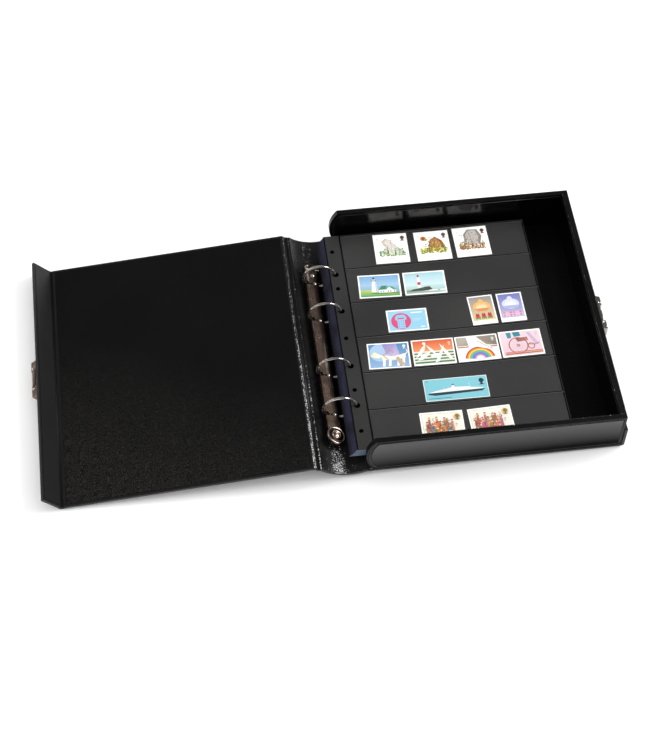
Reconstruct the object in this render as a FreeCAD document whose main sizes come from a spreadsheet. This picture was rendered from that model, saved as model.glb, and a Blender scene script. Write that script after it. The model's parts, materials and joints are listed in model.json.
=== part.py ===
"""Ring-bound stamp album in a folding box case, laid open with its front cover turned over to the left.

Every piece is drawn in the frame of the closed album (or in the frame of the ring mechanism) and is then
carried to the open position by the placement of the body that it belongs to.
X runs from the flap (left) to the fore-edge (right), Y along the spine, Z up.  Millimetres.
"""
import FreeCAD, Part
import Sketcher
import math
import os

from FreeCAD import Placement, Rotation, Vector

doc = FreeCAD.newDocument("stamp_album")
dims = doc.addObject("Spreadsheet::Sheet", "Dims")


class Size:
    """A length that knows both its value and the spreadsheet expression behind it."""

    def __init__(self, value, text):
        self.value = value
        self.text = text

    def _join(self, other, sign, value):
        other_text = other.text if isinstance(other, Size) else repr(other)
        return Size(value, "(" + self.text + " " + sign + " " + other_text + ")")

    def __add__(self, other):
        return self._join(other, "+", self.value + number(other))

    def __sub__(self, other):
        return self._join(other, "-", self.value - number(other))

    def __mul__(self, other):
        return self._join(other, "*", self.value * number(other))

    def __truediv__(self, other):
        return self._join(other, "/", self.value / number(other))

    def __neg__(self):
        return Size(-self.value, "(0 - " + self.text + ")")


def number(item):
    return item.value if isinstance(item, Size) else item


def text(item):
    return item.text if isinstance(item, Size) else repr(float(item))


def dim(alias, value):
    """Enter one driving dimension in the spreadsheet."""
    row = len(dimension_names) + 1
    dimension_names.append(alias)
    dims.set("A%d" % row, alias)
    dims.set("B%d" % row, repr(float(value)))
    dims.setAlias("B%d" % row, alias)
    return Size(float(value), "Dims." + alias)


dimension_names = []

# Case
half_depth = dim("case_half_depth", 137.4)
board = dim("board_thick", 2.6)
lining = dim("lining_thick", 0.4)
lining_inset = dim("lining_inset", 2.6)
board_left = dim("board_left_x", -237.0)
board_right = dim("board_right_x", -4.0)
wall_top = dim("wall_top_z", 46.8)
wall_left = dim("wall_left_x", -236.5)
wall_right = dim("wall_right_x", -4.4)
wall_bulge = dim("wall_end_radius", 35.0)
panel_thick = dim("panel_thick", 0.5)
panel_inset = dim("panel_inset", 3.3)
wall_core = dim("wall_core_thick", 5.0)
fore_wall = dim("fore_wall_thick", 6.0)
face = dim("fore_face_x", -1.0)
band_top = dim("band_top_z", 26.3)
band_round = dim("band_round", 2.6)
flap_end = dim("flap_end_z", 26.9)
flap_root = dim("flap_root_z", 48.4)

# Hinge lines of the closed case
back_hinge_x = dim("back_hinge_x", -239.5)
back_hinge_z = dim("back_hinge_z", 1.5)
spine_width = dim("spine_width", 49.7)
cover_span = dim("cover_span", 238.4)
cover_drop = dim("cover_drop", 0.6)
strip_radius = dim("strip_radius", 1.1)
shell_radius = dim("shell_radius", 39.5)
shell_thick = dim("shell_thick", 2.5)
shell_angle = dim("shell_angle", 69.0)
front_hinge_z = back_hinge_z + spine_width
flap_hinge_x = back_hinge_x + cover_span
cover_top = front_hinge_z - cover_drop

# Angles between the closed case and the open one
SPINE_OPEN = 78.6
COVER_OPEN = 107.15
FLAP_CLOSE = 35.15
FLAP_OPEN = 54.85

# Ring mechanism, in a frame whose origin is the ring centre, Z pointing away from the plate
RING_CENTRE = Vector(-261.0, 0.0, 19.7)
RING_TILT = 26.6
ring_radius = dim("ring_radius", 15.5)
wire = dim("ring_wire_radius", 1.35)
plate_level = dim("plate_level", 11.6)
plate_half = dim("plate_half_width", 8.2)
plate_thick = dim("plate_thick", 0.9)
plate_crown = dim("plate_crown", 0.7)
plate_skirt = dim("plate_skirt", 4.5)
plate_near = dim("plate_near_y", -102.0)
plate_far = dim("plate_far_y", 97.0)
blade_half = dim("blade_half_width", 6.4)
blade_thick = dim("blade_thick", 1.2)
blade_level = dim("blade_level", 4.8)
blade_near = dim("blade_near_y", -94.5)
blade_far = dim("blade_far_y", 83.5)
ring_seat = dim("ring_seat_angle", 14.6)
ring_gap = dim("ring_gap_angle", 0.4)
plate_slot_half = dim("plate_slot_half", 2.1)
plate_slot_outer = dim("plate_slot_outer", 13.0)
post_radius = dim("post_radius", 1.6)
lever_y = dim("lever_pin_y", 94.0)
lever_pin = dim("lever_pin_radius", 0.8)
lever_drop = dim("lever_pin_below_plate", 3.0)
lever_thick = dim("lever_thick", 1.2)
lever_half = dim("lever_half_width", 3.0)
lever_reach = dim("lever_reach", 5.1)
lever_tab_half = dim("lever_tab_half_width", 7.0)
lever_tab_low = dim("lever_tab_low", 2.2)
lever_tab_height = dim("lever_tab_height", 3.8)
lever_tip = dim("lever_tip_radius", 1.3)
lever_barrel_half = dim("lever_barrel_half", 4.6)
RING_YS = (-77.5, -32.5, 32.5, 77.5)
POST_YS = (-102.0, 87.0)
RING_OPEN = 7.5

# Pages
page_width = dim("page_width", 202.0)
page_half = dim("page_half_depth", 126.0)
page_top = dim("page_top_z", 20.3)
backing = dim("page_backing_thick", 0.4)
leaf_thick = dim("leaf_thick", 0.9)
leaf_pitch = dim("leaf_pitch", 1.6)
leaf_fan = dim("leaf_fan", 0.75)
leaf_hole_radius = dim("leaf_hole_radius", 3.2)
hole_radius = dim("page_hole_radius", 3.0)
hole_inset = dim("page_hole_inset", 6.4)
margin_width = dim("margin_width", 15.4)
margin_thick = dim("margin_thick", 0.35)
film_thick = dim("film_thick", 0.12)
film_rise = dim("film_rise", 0.45)
stamp_thick = dim("stamp_thick", 0.15)
stamp_rise = dim("stamp_rise", 0.1)
EXTRA_HOLE_YS = (-106.0, -60.0, 0.0, 60.0, 106.0)
FOLD_YS = (84.2, 42.6, 0.6, -41.0, -82.4, -124.4)
STRIP_HEIGHT = 39.4
LEAF_COUNT = 6

# Clasp
clasp_half = dim("clasp_half_length", 19.5)
clasp_thick = dim("clasp_plate_thick", 0.8)
clasp_proud = dim("clasp_proud", 7.6)
clasp_bevel = dim("clasp_bevel", 1.2)
clasp_slope = dim("clasp_slope_height", 3.0)
knuckle_half = dim("knuckle_half_length", 8.7)
knuckle_gap = dim("knuckle_gap", 0.5)
knuckle_radius = dim("knuckle_radius", 2.7)
latch_radius = dim("latch_knuckle_radius", 1.9)
clasp_pin = dim("clasp_pin_radius", 1.0)
clasp_axis = dim("clasp_axis_out", 4.6)
rivet_radius = dim("rivet_radius", 1.7)
rivet_offset = dim("rivet_above_pin", 4.4)
tongue_thick = dim("tongue_thick", 1.1)
tongue_inset = dim("tongue_behind_pin", 1.75)
tongue_length = dim("tongue_length", 12.2)
window_half = dim("window_half_width", 4.6)
window_start = dim("window_from_pin", 6.4)
window_height = dim("window_height", 4.2)
catch_low = dim("catch_low_z", 12.0)
catch_high = dim("catch_high_z", 25.6)
bridge_height = dim("bridge_height", 2.3)
nose_half = dim("nose_half_width", 3.6)
nose_height = dim("nose_height", 2.2)
nose_proud = dim("nose_proud", 2.6)

SLIP = 0.02
BLADE_GAP = 0.15
UPRIGHT = Rotation(Vector(1, 0, 0), 90)


# ---------------------------------------------------------------- drawing helpers

def origin_plane(body, role):
    for feature in body.Origin.OriginFeatures:
        if feature.Role == role:
            return feature
    raise ValueError(role)


def place_constraint(sketch, kind, geometry, point, where):
    """Tie one coordinate of a sketch vertex to its expression."""
    if abs(number(where)) < 1e-9:
        axis = -1 if kind == "DistanceY" else -2
        sketch.addConstraint(Sketcher.Constraint("PointOnObject", geometry, point, axis))
        return
    index = sketch.addConstraint(Sketcher.Constraint(kind, -1, 1, geometry, point, number(where)))
    sketch.setExpression("Constraints[%d]" % index, text(where))


def profile_body(name, corners, y_low, y_high, arcs=None):
    """Pad a closed profile, drawn in X and Z, from y_low to y_high.

    arcs maps the number of an edge to the radius of the arc that replaces it; a positive radius bulges to
    the right of the direction of travel.
    """
    arcs = arcs or {}
    body = doc.addObject("PartDesign::Body", name)
    sketch = body.newObject("Sketcher::SketchObject", name + "_profile")
    sketch.AttachmentSupport = [(origin_plane(body, "XZ_Plane"), "")]
    sketch.MapMode = "FlatFace"
    sketch.setExpression("AttachmentOffset.Base.z", text(-y_high))
    count = len(corners)
    ends = []
    points = [Vector(number(x), number(z), 0) for x, z in corners]
    for edge in range(count):
        first = points[edge]
        last = points[(edge + 1) % count]
        if edge in arcs:
            ends.append(add_arc(sketch, first, last, number(arcs[edge])))
        else:
            sketch.addGeometry(Part.LineSegment(first, last), False)
            ends.append((1, 2))
    for edge in range(count):
        after = (edge + 1) % count
        joint = Sketcher.Constraint("Coincident", edge, ends[edge][1], after, ends[after][0])
        sketch.addConstraint(joint)
    for edge, radius in arcs.items():
        index = sketch.addConstraint(Sketcher.Constraint("Radius", edge, abs(number(radius))))
        sketch.setExpression("Constraints[%d]" % index, text(radius if number(radius) > 0 else -radius))
    for edge, (x, z) in enumerate(corners):
        place_constraint(sketch, "DistanceX", edge, ends[edge][0], x)
        place_constraint(sketch, "DistanceY", edge, ends[edge][0], z)
    pad = body.newObject("PartDesign::Pad", name + "_pad")
    pad.Profile = sketch
    length = y_high - y_low if isinstance(y_high, Size) else -(y_low - y_high)
    pad.Length = number(length)
    pad.setExpression("Length", text(length))
    return body


def add_arc(sketch, first, last, radius):
    """Add the shorter arc from first to last and return the numbers of its points at first and at last.

    A positive radius bulges to the right of the direction of travel, a negative one to the left.
    """
    if radius < 0:
        at_last, at_first = add_arc(sketch, last, first, -radius)
        return (at_first, at_last)
    chord = last - first
    middle = (first + last) * 0.5
    to_left = Vector(-chord.y, chord.x, 0)
    to_left.normalize()
    centre = middle + to_left * math.sqrt(radius * radius - chord.Length * chord.Length / 4.0)
    start = math.atan2(first.y - centre.y, first.x - centre.x)
    end = math.atan2(last.y - centre.y, last.x - centre.x)
    circle = Part.Circle(centre, Vector(0, 0, 1), radius)
    sketch.addGeometry(Part.ArcOfCircle(circle, start, end), False)
    return (1, 2)


def slab(name, x_low, x_high, y_low, y_high, z_low, z_high):
    corners = ((x_low, z_low), (x_high, z_low), (x_high, z_high), (x_low, z_high))
    return profile_body(name, corners, y_low, y_high)


def bind(item, **values):
    for key, value in values.items():
        item.setExpression(key, text(value))
    return item


def shift(item, x, y, z, rotation=None):
    """Place a construction solid with its position driven by expressions."""
    item.Placement = Placement(Vector(number(x), number(y), number(z)), rotation or Rotation())
    item.setExpression("Placement.Base.x", text(x))
    item.setExpression("Placement.Base.y", text(y))
    item.setExpression("Placement.Base.z", text(z))
    return item


def box(name, x_low, x_high, y_low, y_high, z_low, z_high):
    solid = doc.addObject("Part::Box", name)
    length = as_size(x_high) - x_low
    width = as_size(y_high) - y_low
    height = as_size(z_high) - z_low
    bind(solid, Length=length, Width=width, Height=height)
    return shift(solid, x_low, y_low, z_low)


def as_size(item):
    return item if isinstance(item, Size) else Size(float(item), repr(float(item)))


def cylinder(name, radius, x, y, z, height, rotation=None, angle=360.0):
    solid = doc.addObject("Part::Cylinder", name)
    bind(solid, Radius=radius, Height=height, Angle=angle)
    return shift(solid, x, y, z, rotation)


def sphere(name, radius, x, y, z):
    solid = doc.addObject("Part::Sphere", name)
    bind(solid, Radius=radius)
    return shift(solid, x, y, z)


def torus(name, major, minor, y, start, sweep):
    """Ring wire about the Y direction, from start over sweep degrees, measured from X towards Z."""
    solid = doc.addObject("Part::Torus", name)
    bind(solid, Radius1=major, Radius2=minor, Angle3=sweep)
    return shift(solid, 0.0, y, 0.0, UPRIGHT.multiply(Rotation(Vector(0, 0, 1), number(start))))


def fuse(name, parts):
    joined = doc.addObject("Part::MultiFuse", name)
    joined.Shapes = parts
    return joined


def group(name, parts):
    bundle = doc.addObject("Part::Compound", name)
    bundle.Links = parts
    return bundle


def cut(name, base, tool):
    result = doc.addObject("Part::Cut", name)
    result.Base = base
    result.Tool = tool
    return result


def common(name, base, tool):
    result = doc.addObject("Part::Common", name)
    result.Base = base
    result.Tool = tool
    return result


# ---------------------------------------------------------------- bodies and their open positions

def about_y(x, z, degrees):
    """Turn about a line along Y; a positive angle lowers the right side."""
    centre = Vector(number(x), 0, number(z))
    return Placement(Vector(), Rotation(Vector(0, 1, 0), degrees), centre)


SPINE_FRAME = about_y(back_hinge_x, back_hinge_z, -SPINE_OPEN)
COVER_FRAME = SPINE_FRAME.multiply(about_y(back_hinge_x, front_hinge_z, -COVER_OPEN))
FLAP_FRAME = COVER_FRAME.multiply(about_y(flap_hinge_x, front_hinge_z, -FLAP_CLOSE))
RING_FRAME = Placement(RING_CENTRE, Rotation(Vector(0, 1, 0), RING_TILT))
TRAY_FRAME = Placement()

nodes = []


def node(item, name, frame):
    """Register a finished sub-part under its file name and the frame that carries it."""
    item.Label = name
    nodes.append((item, name, frame))
    return item


# ---------------------------------------------------------------- box case

node(slab("back_board", board_left, board_right, -half_depth, half_depth, 0.0, board),
     "back_cover_board", TRAY_FRAME)

band_profile = (
    (board_right, 0.0),
    (face - band_round, 0.0),
    (face, band_round),
    (face, band_top),
    (face - board, band_top),
    (face - board, board),
    (board_right, board),
)
node(profile_body("band", band_profile, -half_depth, half_depth, {1: band_round}),
     "fore_edge_band", TRAY_FRAME)

core_outer = half_depth - panel_thick
core_inner = core_outer - wall_core
tray_inner = core_inner - lining


def wall_outline(inset):
    """Outline of a long wall: square at the fore-edge, bulging at the spine end."""
    low = board + inset
    high = wall_top - inset
    left = wall_left + inset
    right = wall_right - inset
    return ((left, low), (right, low), (right, high), (left, high))


def long_wall(label, y_low, y_high, inset):
    radius = wall_bulge - inset
    return profile_body(label, wall_outline(inset), y_low, y_high, {3: radius})


no_inset = as_size(0.0)
node(long_wall("rear_core", core_inner, core_outer, no_inset), "rear_wall", TRAY_FRAME)
node(long_wall("front_core", -core_outer, -core_inner, no_inset), "front_wall", TRAY_FRAME)
node(long_wall("rear_panel", core_outer, half_depth, panel_inset), "rear_outer_panel", TRAY_FRAME)
node(long_wall("front_panel", -half_depth, -core_outer, panel_inset), "front_outer_panel", TRAY_FRAME)
fore_inner = wall_right - fore_wall
node(slab("fore_core", fore_inner, wall_right, -core_inner, core_inner, board, wall_top),
     "fore_edge_wall", TRAY_FRAME)
lining_low = board + lining
lining_high = wall_top - lining_inset
lining_left = wall_left - 1.0
node(slab("floor_sheet", board_left + 1.0, fore_inner, -core_inner, core_inner, board, lining_low),
     "tray_floor_lining", TRAY_FRAME)
node(slab("rear_sheet", lining_left, fore_inner, tray_inner, core_inner, lining_low, lining_high),
     "rear_inner_lining", TRAY_FRAME)
node(slab("front_sheet", lining_left, fore_inner, -core_inner, -tray_inner, lining_low, lining_high),
     "front_inner_lining", TRAY_FRAME)
node(slab("fore_sheet", fore_inner - lining, fore_inner, -tray_inner, tray_inner, lining_low, lining_high),
     "fore_edge_lining", TRAY_FRAME)

# ---------------------------------------------------------------- spine and front cover

shell_half_chord = number(spine_width) / 2.0
shell_reach = math.sqrt(number(shell_radius) ** 2 - shell_half_chord ** 2)
shell_x = number(back_hinge_x) + shell_reach
shell_z = number(back_hinge_z) + shell_half_chord
shell_depth = half_depth * 2.0
TURN_TO_SPINE = UPRIGHT.multiply(Rotation(Vector(0, 0, 1), 180.0 - number(shell_angle) / 2.0))


def curved_sheet(label, outer, thick):
    """Curved board whose outside follows the spine."""
    solid = cylinder(label + "_outside", outer, shell_x, half_depth, shell_z, shell_depth,
                     TURN_TO_SPINE, shell_angle)
    hollow = cylinder(label + "_hollow", outer - thick, shell_x, half_depth, shell_z, shell_depth, UPRIGHT)
    return cut(label, solid, hollow)


node(curved_sheet("spine_curve", shell_radius, shell_thick), "spine_shell", SPINE_FRAME)
node(curved_sheet("spine_sheet", shell_radius - shell_thick, lining), "spine_lining", SPINE_FRAME)


def hinge_strip(label, x, z):
    """Rolled strip of covering that lies along a fold."""
    rod = cylinder(label + "_roll", strip_radius, x, half_depth - 1.0, z, shell_depth - 2.0, UPRIGHT)
    return group(label, [rod])


node(hinge_strip("back_fold", back_hinge_x, back_hinge_z), "back_hinge_strip", TRAY_FRAME)
node(hinge_strip("front_fold", back_hinge_x, front_hinge_z), "front_hinge_strip", SPINE_FRAME)
node(hinge_strip("flap_fold", flap_hinge_x, front_hinge_z - 0.2), "flap_hinge_strip", COVER_FRAME)

cover_under = cover_top - board
node(slab("front_board", board_left, board_right, -half_depth, half_depth, cover_under, cover_top),
     "front_cover_board", COVER_FRAME)
inset_depth = half_depth - lining_inset
node(slab("front_board_sheet", board_left + lining_inset, board_right - lining_inset,
          -inset_depth, inset_depth, cover_under - lining, cover_under),
     "front_cover_lining", COVER_FRAME)
node(slab("flap_core", face - board, face, -half_depth, half_depth, flap_end, flap_root),
     "flap_board", FLAP_FRAME)
node(slab("flap_sheet", face - board - lining, face - board, -inset_depth, inset_depth,
          flap_end + 2.0, flap_root - 1.0),
     "flap_lining", FLAP_FRAME)

# ---------------------------------------------------------------- clasp

clasp_back = face + clasp_thick
clasp_front = face + clasp_proud
axis_x = face + clasp_axis
block_inner = knuckle_half + knuckle_gap
shank_radius = rivet_radius - 0.4
HEAD_SPACE = 3.0


def clasp_plate(label, z_low, z_high, axis_z, rivet_z):
    """Base plate with a bevelled block at each end, bored for the pin and the two rivets."""
    plate_profile = (
        (face, z_low),
        (clasp_back, z_low),
        (clasp_back, z_high),
        (face, z_high),
    )
    plate = profile_body(label + "_plate", plate_profile, -clasp_half, clasp_half)
    block_profile = (
        (clasp_back, z_low),
        (clasp_front - clasp_bevel, z_low),
        (clasp_front, z_low + clasp_bevel),
        (clasp_front, z_high - clasp_slope),
        (clasp_back + clasp_thick, z_high),
        (clasp_back, z_high),
    )
    near = profile_body(label + "_near", block_profile, -clasp_half, -block_inner)
    far = profile_body(label + "_far", block_profile, block_inner, clasp_half)
    bore = cylinder(label + "_bore", clasp_pin + SLIP, axis_x, clasp_half + 1.0, axis_z,
                    clasp_half * 2.0 + 2.0, UPRIGHT)
    holes = [bore]
    for side, y in enumerate((-rivet_y, rivet_y)):
        holes.append(rivet_shank(label + "_hole_%d" % side, shank_radius, y, rivet_z))
    body = fuse(label + "_blank", [plate, near, far])
    return cut(label, body, fuse(label + "_bores", holes))


def rivet_shank(label, radius, y, z):
    turned = Rotation(Vector(0, 1, 0), 90)
    return cylinder(label, radius, face, y, z, clasp_proud + 0.4, turned)


def clasp_rivets(label, rivet_z):
    """Two rivets through the end blocks, each with a domed head."""
    parts = []
    for side, y in enumerate((-rivet_y, rivet_y)):
        shank = rivet_shank(label + "_shank_%d" % side, shank_radius - SLIP, y, rivet_z)
        ball = sphere(label + "_dome_%d" % side, rivet_radius, clasp_front, y, rivet_z)
        front = box(label + "_front_%d" % side, clasp_front, clasp_front + HEAD_SPACE,
                    y - HEAD_SPACE, y + HEAD_SPACE, rivet_z - HEAD_SPACE, rivet_z + HEAD_SPACE)
        head = common(label + "_head_%d" % side, ball, front)
        parts.append(fuse(label + "_%d" % side, [shank, head]))
    return group(label, parts)


def clasp_pin_rod(label, axis_z):
    """Hinge pin, a little shorter than the clasp."""
    half = clasp_half - 0.4
    rod = cylinder(label + "_rod", clasp_pin, axis_x, half, axis_z, half * 2.0, UPRIGHT)
    return group(label, [rod])


def knuckle(label, axis_z, radius):
    """Barrel of a moving leaf."""
    return cylinder(label, radius, axis_x, knuckle_half, axis_z, knuckle_half * 2.0, UPRIGHT)


def knuckle_bore(label, axis_z):
    half = knuckle_half + 1.0
    return cylinder(label, clasp_pin + SLIP, axis_x, half, axis_z, half * 2.0, UPRIGHT)


rivet_y = (clasp_half + knuckle_half) / 2.0 + 1.0
hasp_axis = flap_end + 2.6
hasp_low = flap_end + 0.4
hasp_high = flap_end + 15.0
hasp_rivet = hasp_axis + rivet_offset
node(clasp_plate("hasp", hasp_low, hasp_high, hasp_axis, hasp_rivet), "hasp_base", FLAP_FRAME)
node(clasp_rivets("hasp_rivet", hasp_rivet), "hasp_rivets", FLAP_FRAME)
node(clasp_pin_rod("hasp_rod", hasp_axis), "hasp_pin", FLAP_FRAME)

tongue_back = axis_x - tongue_inset
tongue_front = tongue_back + tongue_thick
tongue_tip = hasp_axis + tongue_length
window_low = hasp_axis + window_start
tongue_barrel = knuckle("tongue_barrel", hasp_axis, knuckle_radius)
tongue_leaf = box("tongue_leaf", tongue_back, tongue_front, -knuckle_half, knuckle_half,
                  hasp_axis, tongue_tip)
window = box("tongue_window", tongue_back - 1.0, tongue_front + 1.0, -window_half, window_half,
             window_low, window_low + window_height)
tongue_blank = fuse("tongue_blank", [tongue_barrel, tongue_leaf])
tongue_cuts = fuse("tongue_cuts", [window, knuckle_bore("tongue_bore", hasp_axis)])
node(cut("tongue", tongue_blank, tongue_cuts), "hasp_tongue", FLAP_FRAME)

# The bar across the top of the catch stays behind the closed tongue.
catch_axis = catch_low + 3.0
catch_rivet = catch_axis + rivet_offset
catch_bridge = box("catch_bridge", clasp_back - 0.2, axis_x + 0.4, -knuckle_half - 1.0, knuckle_half + 1.0,
                   catch_high - bridge_height, catch_high)
catch_block = clasp_plate("catch", catch_low, catch_high, catch_axis, catch_rivet)
node(fuse("catch_bridged", [catch_block, catch_bridge]), "catch_base", TRAY_FRAME)
node(clasp_rivets("catch_rivet", catch_rivet), "catch_rivets", TRAY_FRAME)
node(clasp_pin_rod("catch_rod", catch_axis), "catch_pin", TRAY_FRAME)

latch_high = catch_high - 3.0
nose_high = latch_high - 0.4
latch_barrel = knuckle("latch_barrel", catch_axis, latch_radius)
latch_leaf = box("latch_leaf", tongue_back, tongue_front, -knuckle_half, knuckle_half,
                 catch_axis, latch_high)
latch_nose = box("latch_nose", tongue_front, tongue_front + nose_proud, -nose_half, nose_half,
                 nose_high - nose_height, nose_high)
latch_blank = fuse("latch_blank", [latch_barrel, latch_leaf, latch_nose])
node(cut("latch", latch_blank, knuckle_bore("latch_bore", catch_axis)), "catch_latch", TRAY_FRAME)

# ---------------------------------------------------------------- ring mechanism

plate_base = -plate_level + 0.5
inner_half = plate_half - plate_thick
crown_radius = (plate_half * plate_half + plate_crown * plate_crown) / (plate_crown * 2.0)
channel_profile = (
    (-plate_half, plate_base - plate_skirt),
    (-inner_half, plate_base - plate_skirt),
    (-inner_half, plate_base - plate_crown - plate_thick),
    (inner_half, plate_base - plate_crown - plate_thick),
    (inner_half, plate_base - plate_skirt),
    (plate_half, plate_base - plate_skirt),
    (plate_half, plate_base - plate_crown),
    (-plate_half, plate_base - plate_crown),
)
# The underside is drawn as an arc of the crown radius too, so the plate has an even thickness.
channel = profile_body("channel", channel_profile, plate_near - plate_half, plate_far,
                       {2: -crown_radius, 6: crown_radius})
tool_low = -plate_level - 8.0
tool_height = as_size(11.0)
tool_high = tool_low + tool_height
footprint = fuse("plate_footprint", [
    box("plate_run", -plate_half - 1.0, plate_half + 1.0, plate_near, plate_far, tool_low, tool_high),
    cylinder("plate_round", plate_half, 0.0, plate_near, tool_low, tool_height),
])
slots = []
slot_inner = blade_half - 0.9
for index, ring_y in enumerate(RING_YS):
    for side, sign in (("left", -1.0), ("right", 1.0)):
        slot_low = slot_inner if sign > 0 else -plate_slot_outer
        slot_high = plate_slot_outer if sign > 0 else -slot_inner
        slots.append(box("slot_%s_%d" % (side, index), slot_low, slot_high,
                         -plate_slot_half + ring_y, plate_slot_half + ring_y, tool_low, tool_high))
for index, post_y in enumerate(POST_YS):
    hole = cylinder("post_hole_%d" % index, post_radius + SLIP, 0.0, post_y, tool_low, tool_height)
    slots.append(hole)
pin_level = -plate_level - lever_drop
ACROSS = Rotation(Vector(0, 1, 0), 90)
slots.append(cylinder("pin_hole", lever_pin + SLIP, -plate_half - 1.0, lever_y, pin_level,
                      plate_half * 2.0 + 2.0, ACROSS))
node(cut("plate", common("plate_blank", channel, footprint), fuse("plate_cuts", slots)),
     "ring_top_plate", RING_FRAME)

# Posts that carry the plate; their feet follow the curve of the spine lining.
inner_shell = number(shell_radius) - number(shell_thick) - number(lining) - SLIP
shell_axis = SPINE_FRAME.multVec(Vector(shell_x, 0, shell_z))
shell_local = RING_FRAME.inverse().multVec(shell_axis)
post_foot = -plate_level - 12.0
post_tall = as_size(12.0)
posts = []
for index, post_y in enumerate(POST_YS):
    shank = cylinder("post_shank_%d" % index, post_radius, 0.0, post_y, post_foot, post_tall + 0.6)
    collar = cylinder("post_collar_%d" % index, post_radius + 1.4, 0.0, post_y, post_foot,
                      post_tall - plate_thick - 0.1)
    dome = sphere("post_dome_%d" % index, post_radius + 1.6, 0.0, post_y, plate_base - 1.6)
    above = box("post_above_%d" % index, -4.0, 4.0, post_y - 4.0, post_y + 4.0,
                plate_base + SLIP, plate_base + 4.0)
    head = common("post_head_%d" % index, dome, above)
    posts.append(fuse("post_%d" % index, [shank, collar, head]))
shell_space = cylinder("shell_space", inner_shell, shell_local.x, half_depth, shell_local.z,
                       shell_depth, UPRIGHT)
node(common("mount", group("post_pair", posts), shell_space), "mounting_posts", RING_FRAME)

ring_bottom = 90.0 - number(ring_seat)
ring_sweep = as_size(180.0) - ring_seat - ring_gap
blade_axis = -plate_level - blade_level
for side, sign in (("left", -1.0), ("right", 1.0)):
    halves = []
    grooves = []
    for index, ring_y in enumerate(RING_YS):
        start = as_size(-ring_bottom) if sign > 0 else ring_gap + 90.0
        tag = "%s_%d" % (side, index)
        halves.append(torus("ring_" + tag, ring_radius, wire, ring_y, start, ring_sweep))
        grooves.append(torus("groove_" + tag, ring_radius, wire + SLIP, ring_y, start, ring_sweep))
    near_edge = BLADE_GAP if sign > 0 else -blade_half
    far_edge = blade_half if sign > 0 else as_size(-BLADE_GAP)
    blank = box(side + "_blade_blank", near_edge, far_edge, blade_near, blade_far,
                blade_axis - blade_thick / 2.0, blade_axis + blade_thick / 2.0)
    blade = cut(side + "_blade_cut", blank, fuse(side + "_grooves", grooves))
    node(blade, side + "_carrier_blade", RING_FRAME)
    node(group(side + "_rings", halves), side + "_half_rings", RING_FRAME)

lever_low = pin_level - lever_thick / 2.0
lever_high = pin_level + lever_thick / 2.0
lever_far = lever_y + lever_reach
lever_near = lever_far - lever_thick
tab_low = pin_level + lever_tab_low
tab_high = tab_low + lever_tab_height
lever_parts = [
    cylinder("lever_barrel", lever_pin + 0.6, -lever_barrel_half, lever_y, pin_level,
             lever_barrel_half * 2.0, ACROSS),
    box("lever_arm", -lever_half, lever_half, lever_y, lever_far, lever_low, lever_high),
    box("lever_stem", -lever_half, lever_half, lever_near, lever_far, lever_low, pin_level + 3.0),
    box("lever_tab", -lever_tab_half, lever_tab_half, lever_near, lever_far, tab_low, tab_high),
]
for side, x in (("left", -lever_tab_half), ("right", lever_tab_half)):
    middle_y = lever_far - lever_thick / 2.0
    lever_parts.append(cylinder("lever_tip_" + side, lever_tip, x, middle_y, tab_low, lever_tab_height))
lever_bore = cylinder("lever_bore", lever_pin + SLIP, -plate_half, lever_y, pin_level,
                      plate_half * 2.0, ACROSS)
node(cut("lever", fuse("lever_blank", lever_parts), lever_bore), "opening_lever", RING_FRAME)
lever_rod = cylinder("lever_rod", lever_pin, -plate_half, lever_y, pin_level, plate_half * 2.0, ACROSS)
node(group("lever_axle", [lever_rod]), "lever_pin", RING_FRAME)

# ---------------------------------------------------------------- pages

def wire_shift(z):
    """How far a ring crosses the level z to the right of the ring centre."""
    return math.sqrt(number(ring_radius) ** 2 - (z - RING_CENTRE.z) ** 2)


def wire_shift_open(z):
    """The same for the right half ring when the mechanism is open."""
    pivot = RING_FRAME.multVec(Vector(0, 0, number(blade_axis)))
    turned = about_y(pivot.x, pivot.z, RING_OPEN).multVec(RING_CENTRE)
    reach = math.sqrt(number(ring_radius) ** 2 - (z - turned.z) ** 2)
    return turned.x + reach - RING_CENTRE.x


def page_left(z):
    """Left edge of a page that lies at the level z; its holes allow for the opening rings."""
    crossing = (wire_shift(z) + wire_shift_open(z)) / 2.0
    return RING_CENTRE.x + crossing - number(hole_inset)


def hole_tools(label, column_x, ring_hole, z_low, z_high):
    """Drills for the ring holes and for the smaller holes between them."""
    tools = []
    for index, y in enumerate(RING_YS + EXTRA_HOLE_YS):
        radius = ring_hole if index < len(RING_YS) else hole_radius - 0.8
        tools.append(cylinder("%s_hole_%d" % (label, index), radius, column_x, y, z_low, z_high - z_low))
    return tools


def punched_sheet(label, left, width, z_low, z_high, ring_hole, fan=0.0):
    """Flat sheet with the row of holes along its left margin; fan moves the sheet left of its holes."""
    sheet_left = as_size(left) - fan
    blank = box(label + "_blank", sheet_left, sheet_left + width, -page_half, page_half, z_low, z_high)
    tools = hole_tools(label, hole_inset + left, ring_hole, z_low - 1.0, z_high + 1.0)
    return cut(label, blank, fuse(label + "_holes", tools))


top_left = page_left(number(page_top))
node(punched_sheet("backing", top_left, page_width, page_top - backing, page_top, hole_radius),
     "page_1_backing", TRAY_FRAME)
node(punched_sheet("margin", top_left, margin_width, page_top, page_top + margin_thick, hole_radius),
     "page_1_margin_strip", TRAY_FRAME)
for index, fold_y in enumerate(FOLD_YS, start=1):
    film_low = page_top + film_rise
    node(slab("film_%d" % index, margin_width + (top_left + 0.8), page_width + (top_left - 0.8),
              as_size(fold_y), as_size(fold_y + STRIP_HEIGHT), film_low, film_low + film_thick),
         "pocket_strip_%d" % index, TRAY_FRAME)

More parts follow.
